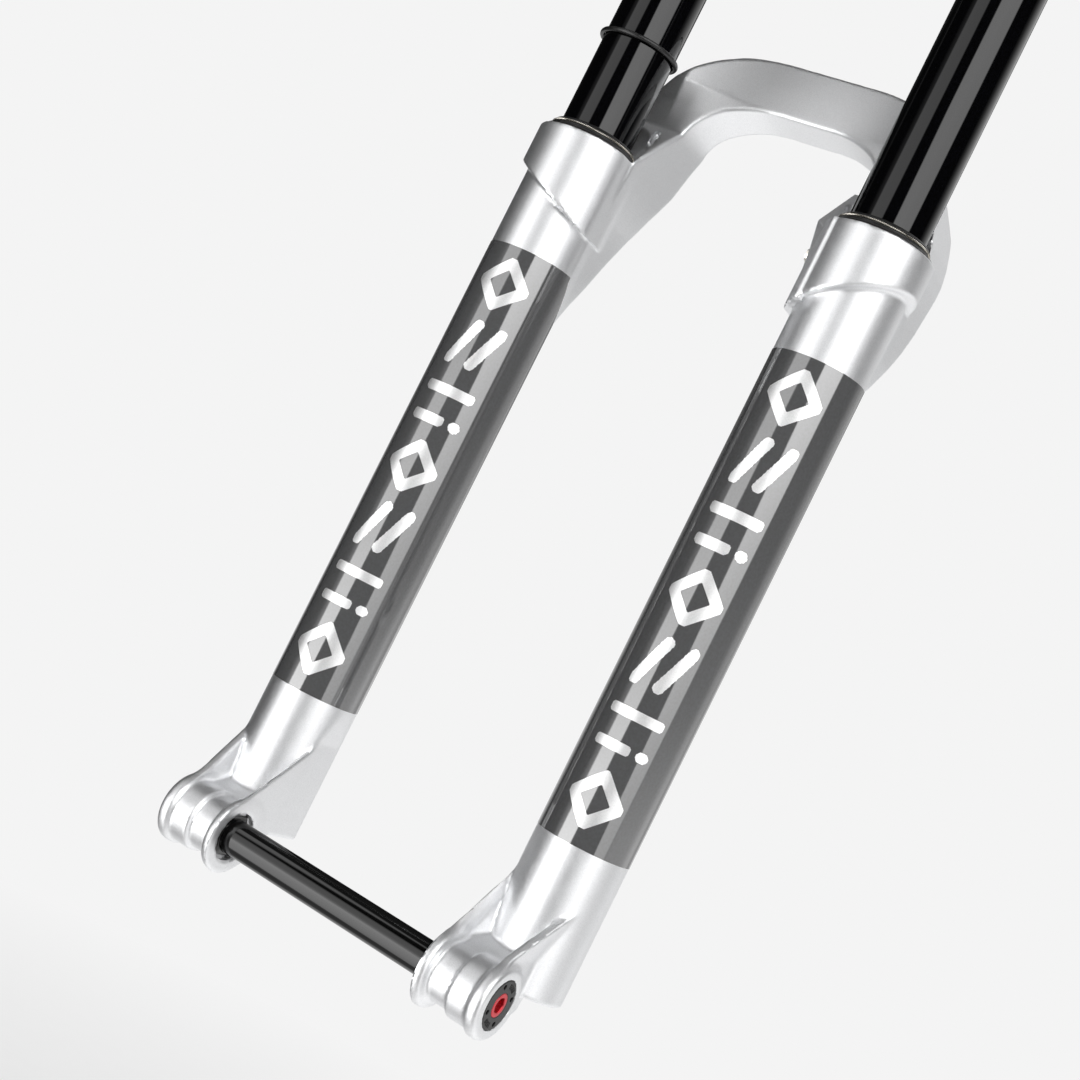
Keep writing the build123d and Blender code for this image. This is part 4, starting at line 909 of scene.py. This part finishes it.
air_cap = [
    (4.0, crown_top - 20), (STANCHION_BORE_R, crown_top - 20), (STANCHION_BORE_R, crown_top),
    (20.0, crown_top),
    (20.0, crown_top + 1.2), (19.9, crown_top + 1.25), (19.9, crown_top + 2.5), (19.0, cap_top),
    (8.0, cap_top), (8.0, crown_top + 5), (4.0, crown_top + 5),
]
piece(
    turned("air_cap_turned", air_cap, (LEG_X, LEG_Y, 0), corner=0.3, segments=160, shape=octagon_cap),
    "crown_unit", "black_anodised", "air_top_cap",
)
damper_cap = [
    (8.05, crown_top - 8), (8.05, cap_top), (19.0, cap_top), (19.9, crown_top + 2.5),
    (19.9, crown_top + 1.25), (20.0, crown_top + 1.2), (20.0, crown_top), (STANCHION_BORE_R, crown_top),
    (STANCHION_BORE_R, crown_top - 20), (0, crown_top - 20), (0, crown_top - 8),
]
piece(
    turned("damper_cap_turned", damper_cap, (-LEG_X, LEG_Y, 0), corner=0.3, segments=160, shape=octagon_cap),
    "crown_unit", "black_anodised", "damper_top_cap",
)


def fluted(count, depth, beyond):
    """Finger flutes cut this deep into everything beyond a radius."""
    def shape(angle, radius, place):
        wave = np.clip(np.cos(angle * count) * 1.6 - 0.6, 0, 1)
        return radius - depth * wave * (radius > beyond)
    return shape


valve_cap = [
    (3.95, crown_top + 5.3), (10.0, crown_top + 5.3), (10.0, crown_top + 20), (8.0, crown_top + 22),
    (0, crown_top + 22), (0, crown_top + 19), (3.95, crown_top + 19),
]
piece(
    turned("valve_cap_knurled", valve_cap, (LEG_X, LEG_Y, 0), corner=0.6, shape=fluted(12, 0.6, 9.5)),
    "valve_cap", "black_anodised", "air_valve_cap",
)
dial_low = cap_top + 0.4
high_dial = [
    (3.05, crown_top - 7.5), (8.0, crown_top - 7.5), (8.0, dial_low), (16.0, dial_low), (16.0, dial_low + 4),
    (14.5, dial_low + 6), (3.05, dial_low + 6),
]
piece(
    turned("high_speed_dial_ring", high_dial, (-LEG_X, LEG_Y, 0), corner=0.5, segments=168,
           shape=fluted(14, 0.9, 13.0)),
    "high_speed_dial", "black_anodised", "high_speed_knob",
)
low_dial = [
    (0, crown_top - 7), (3.0, crown_top - 7), (3.0, dial_low + 6.4), (9.0, dial_low + 6.4),
    (9.0, dial_low + 12), (8.0, dial_low + 13), (0, dial_low + 13),
]
piece(
    turned("low_speed_dial_knob", low_dial, (-LEG_X, LEG_Y, 0), corner=0.5, segments=160,
           shape=fluted(10, 0.7, 7.5)),
    "low_speed_dial", "red_anodised", "low_speed_knob",
)
rebound_low, rebound_high = box_mm("rebound_knob")
rebound = [(0, rebound_low[2]), (9.4, rebound_low[2]), (9.4, rebound_high[2]), (0, rebound_high[2])]
piece(
    turned("rebound_dial_knob", rebound, (-LEG_X, LEG_Y, 0), corner=0.6, segments=192,
           shape=fluted(16, 0.5, 8.0)),
    "rebound_dial", "red_anodised", "rebound_knob",
)


# ================================================================ studio
BACKDROP = 0.905
FLOOR_Z = -0.35

# Each light's brightness round the object against azimuth in degrees, 0 straight in front and 90
# on the +X side, and against elevation. The two are multiplied.
LIGHTS = {
    "left softbox": (
        [(-180, 0), (-56, 0), (-42, 0.18), (-38.5, 1), (-7, 1), (-4, 0), (180, 0)],
        [(-90, 0), (-45, 3.2), (-7, 5.0), (-3, 3.7), (0, 2.9), (6, 2.1), (12, 1.8), (30, 1.6), (38, 0),
         (90, 0)],
    ),
    "right softbox": (
        [(-180, 0), (0, 0), (1, 1.0), (48, 1.0), (60, 0.95), (77, 0.9), (80, 0), (180, 0)],
        [(-90, 0), (-35, 1.2), (-5, 1.7), (0, 2.1), (6, 2.8), (14, 4.2), (40, 4.2), (60, 0), (90, 0)],
    ),
    "left wall": (
        [(-180, 1), (-130, 1), (-112, 0), (180, 0)],
        [(-90, 0.6), (-5, 0.9), (0, 0.7), (5, 0.3), (12, 0.02), (90, 0.02)],
    ),
    "right wall": (
        [(-180, 1), (-170, 0), (124, 0), (134, 0.2), (145, 0.6), (158, 0.9), (180, 1)],
        [(-90, 0.7), (8, 0.7), (18, 1.0), (60, 1.0), (90, 0.7)],
    ),
    "overhead strip": (
        [(-180, 0), (-60, 0), (-54, 1), (-34, 1), (-28, 0), (180, 0)],
        [(-90, 0), (34, 0), (40, 1.8), (62, 1.8), (68, 0), (90, 0)],
    ),
    "right table": (
        [(-180, 0), (78, 0), (81, 1), (150, 1), (165, 0), (180, 0)],
        [(-90, 0.7), (-5, 0.85), (0, 0.3), (5, 0.08), (11, 0), (90, 0)],
    ),
    "floor and ceiling": (
        [(-180, 1), (180, 1)],
        [(-90, 0.5), (-40, 0.3), (-20, 0.01), (40, 0.01), (60, 0.06), (90, 0.12)],
    ),
}
# Azimuth where the right softbox begins; its near edge leans, so this depends on the elevation.
RIGHT_BOX_EDGE = [(-90, 60), (-8, 56), (10, 32), (22, 24), (90, 24)]


def studio_world():
    """Softboxes, walls and a floor for the reflections, and a plain backdrop for the camera."""
    world = bpy.data.worlds.new("studio")
    world.use_nodes = True
    world.node_tree.nodes.clear()
    graph = Graph(world.node_tree)
    direction = graph.add("ShaderNodeTexCoord").outputs["Generated"]
    x, y, z = graph.add("ShaderNodeSeparateXYZ", {0: direction}).outputs
    front = graph.math("MULTIPLY", y, -1.0)
    azimuth = graph.math("DEGREES", graph.math("ARCTAN2", x, front))
    elevation = graph.math("DEGREES", graph.math("ARCSINE", z))
    light = 0.0
    past_edge = graph.math("SUBTRACT", azimuth, graph.curve(elevation, RIGHT_BOX_EDGE))
    for name, (around, upward) in LIGHTS.items():
        share = graph.math("MULTIPLY", graph.curve(azimuth, around), graph.curve(elevation, upward))
        if name == "right softbox":
            share = graph.math("MULTIPLY", share, graph.curve(past_edge, [(-1.5, 0), (1.5, 1)]))
        light = graph.math("ADD", light, share)
    seen = graph.add("ShaderNodeLightPath").outputs["Is Camera Ray"]
    strength = graph.add("ShaderNodeMix", {"Factor": seen, "A": light, "B": BACKDROP}, data_type="FLOAT")
    background = graph.add(
        "ShaderNodeBackground", {"Color": (1, 1, 1, 1), "Strength": strength.outputs["Result"]},
    )
    graph.add("ShaderNodeOutputWorld", {"Surface": background.outputs[0]})
    bpy.context.scene.world = world


def studio_floor():
    """A pale floor well below the fork that fades into the backdrop."""
    side = 12.0
    mesh = bpy.data.meshes.new("floor")
    corners = [(-side, -side, 0), (side, -side, 0), (side, side, 0), (-side, side, 0)]
    mesh.from_pydata(corners, [], [(0, 1, 2, 3)])
    floor = bpy.data.objects.new("floor", mesh)
    floor.location.z = FLOOR_Z
    bpy.context.scene.collection.objects.link(floor)
    surface = Finish("floor", roughness=0.9)
    surface.use("Base Color", surface.tint(surface.noise(40.0), grey(0.8), grey(0.84)))
    away = surface.add("ShaderNodeVectorMath", {0: surface.place}, operation="LENGTH").outputs["Value"]
    share = surface.curve(away, [(0.0, 0.5), (0.3, 0.6), (1.2, 1.0)])
    glow = surface.add("ShaderNodeEmission", {"Strength": BACKDROP})
    mix = surface.add(
        "ShaderNodeMixShader", {0: share, 1: surface.bsdf.outputs[0], 2: glow.outputs[0]},
    )
    surface.tree.links.new(mix.outputs[0], surface.tree.nodes["Material Output"].inputs[0])
    mesh.materials.append(surface.material)
    # Reflections and bounced light come from the studio's own floor brightness.
    floor.visible_glossy = False
    floor.visible_diffuse = False


# The camera looks up slightly from the front left, rolled so that the legs lean to the right.
CAMERA_AZIMUTH, CAMERA_ELEVATION, CAMERA_ROLL = 28.58, -2.39, 26.55
CAMERA_DISTANCE = 0.729
CAMERA_TARGET = Vector((0.0116, 0.0, 0.1674))


def photo_camera():
    """A camera on a sphere round the target, turned about its own line of sight."""
    azimuth, elevation, roll = (math.radians(a) for a in (CAMERA_AZIMUTH, CAMERA_ELEVATION, CAMERA_ROLL))
    level_share = math.cos(elevation)
    back = Vector((
        math.sin(azimuth) * level_share, -math.cos(azimuth) * level_share, math.sin(elevation),
    ))
    right = (-back).cross(Vector((0, 0, 1))).normalized()
    up = right.cross(-back)
    level = Matrix((right, up, back)).transposed()
    camera = bpy.data.objects.new("camera", bpy.data.cameras.new("camera"))
    bpy.context.scene.collection.objects.link(camera)
    rolled = level @ Matrix.Rotation(roll, 3, "Z")
    camera.matrix_world = Matrix.Translation(CAMERA_TARGET + back * CAMERA_DISTANCE) @ rolled.to_4x4()
    camera.data.lens = 60.0
    camera.data.sensor_width = 36.0
    camera.data.clip_start = 0.01
    bpy.context.scene.camera = camera


studio_world()
studio_floor()
photo_camera()
bpy.context.scene.view_settings.view_transform = "Standard"
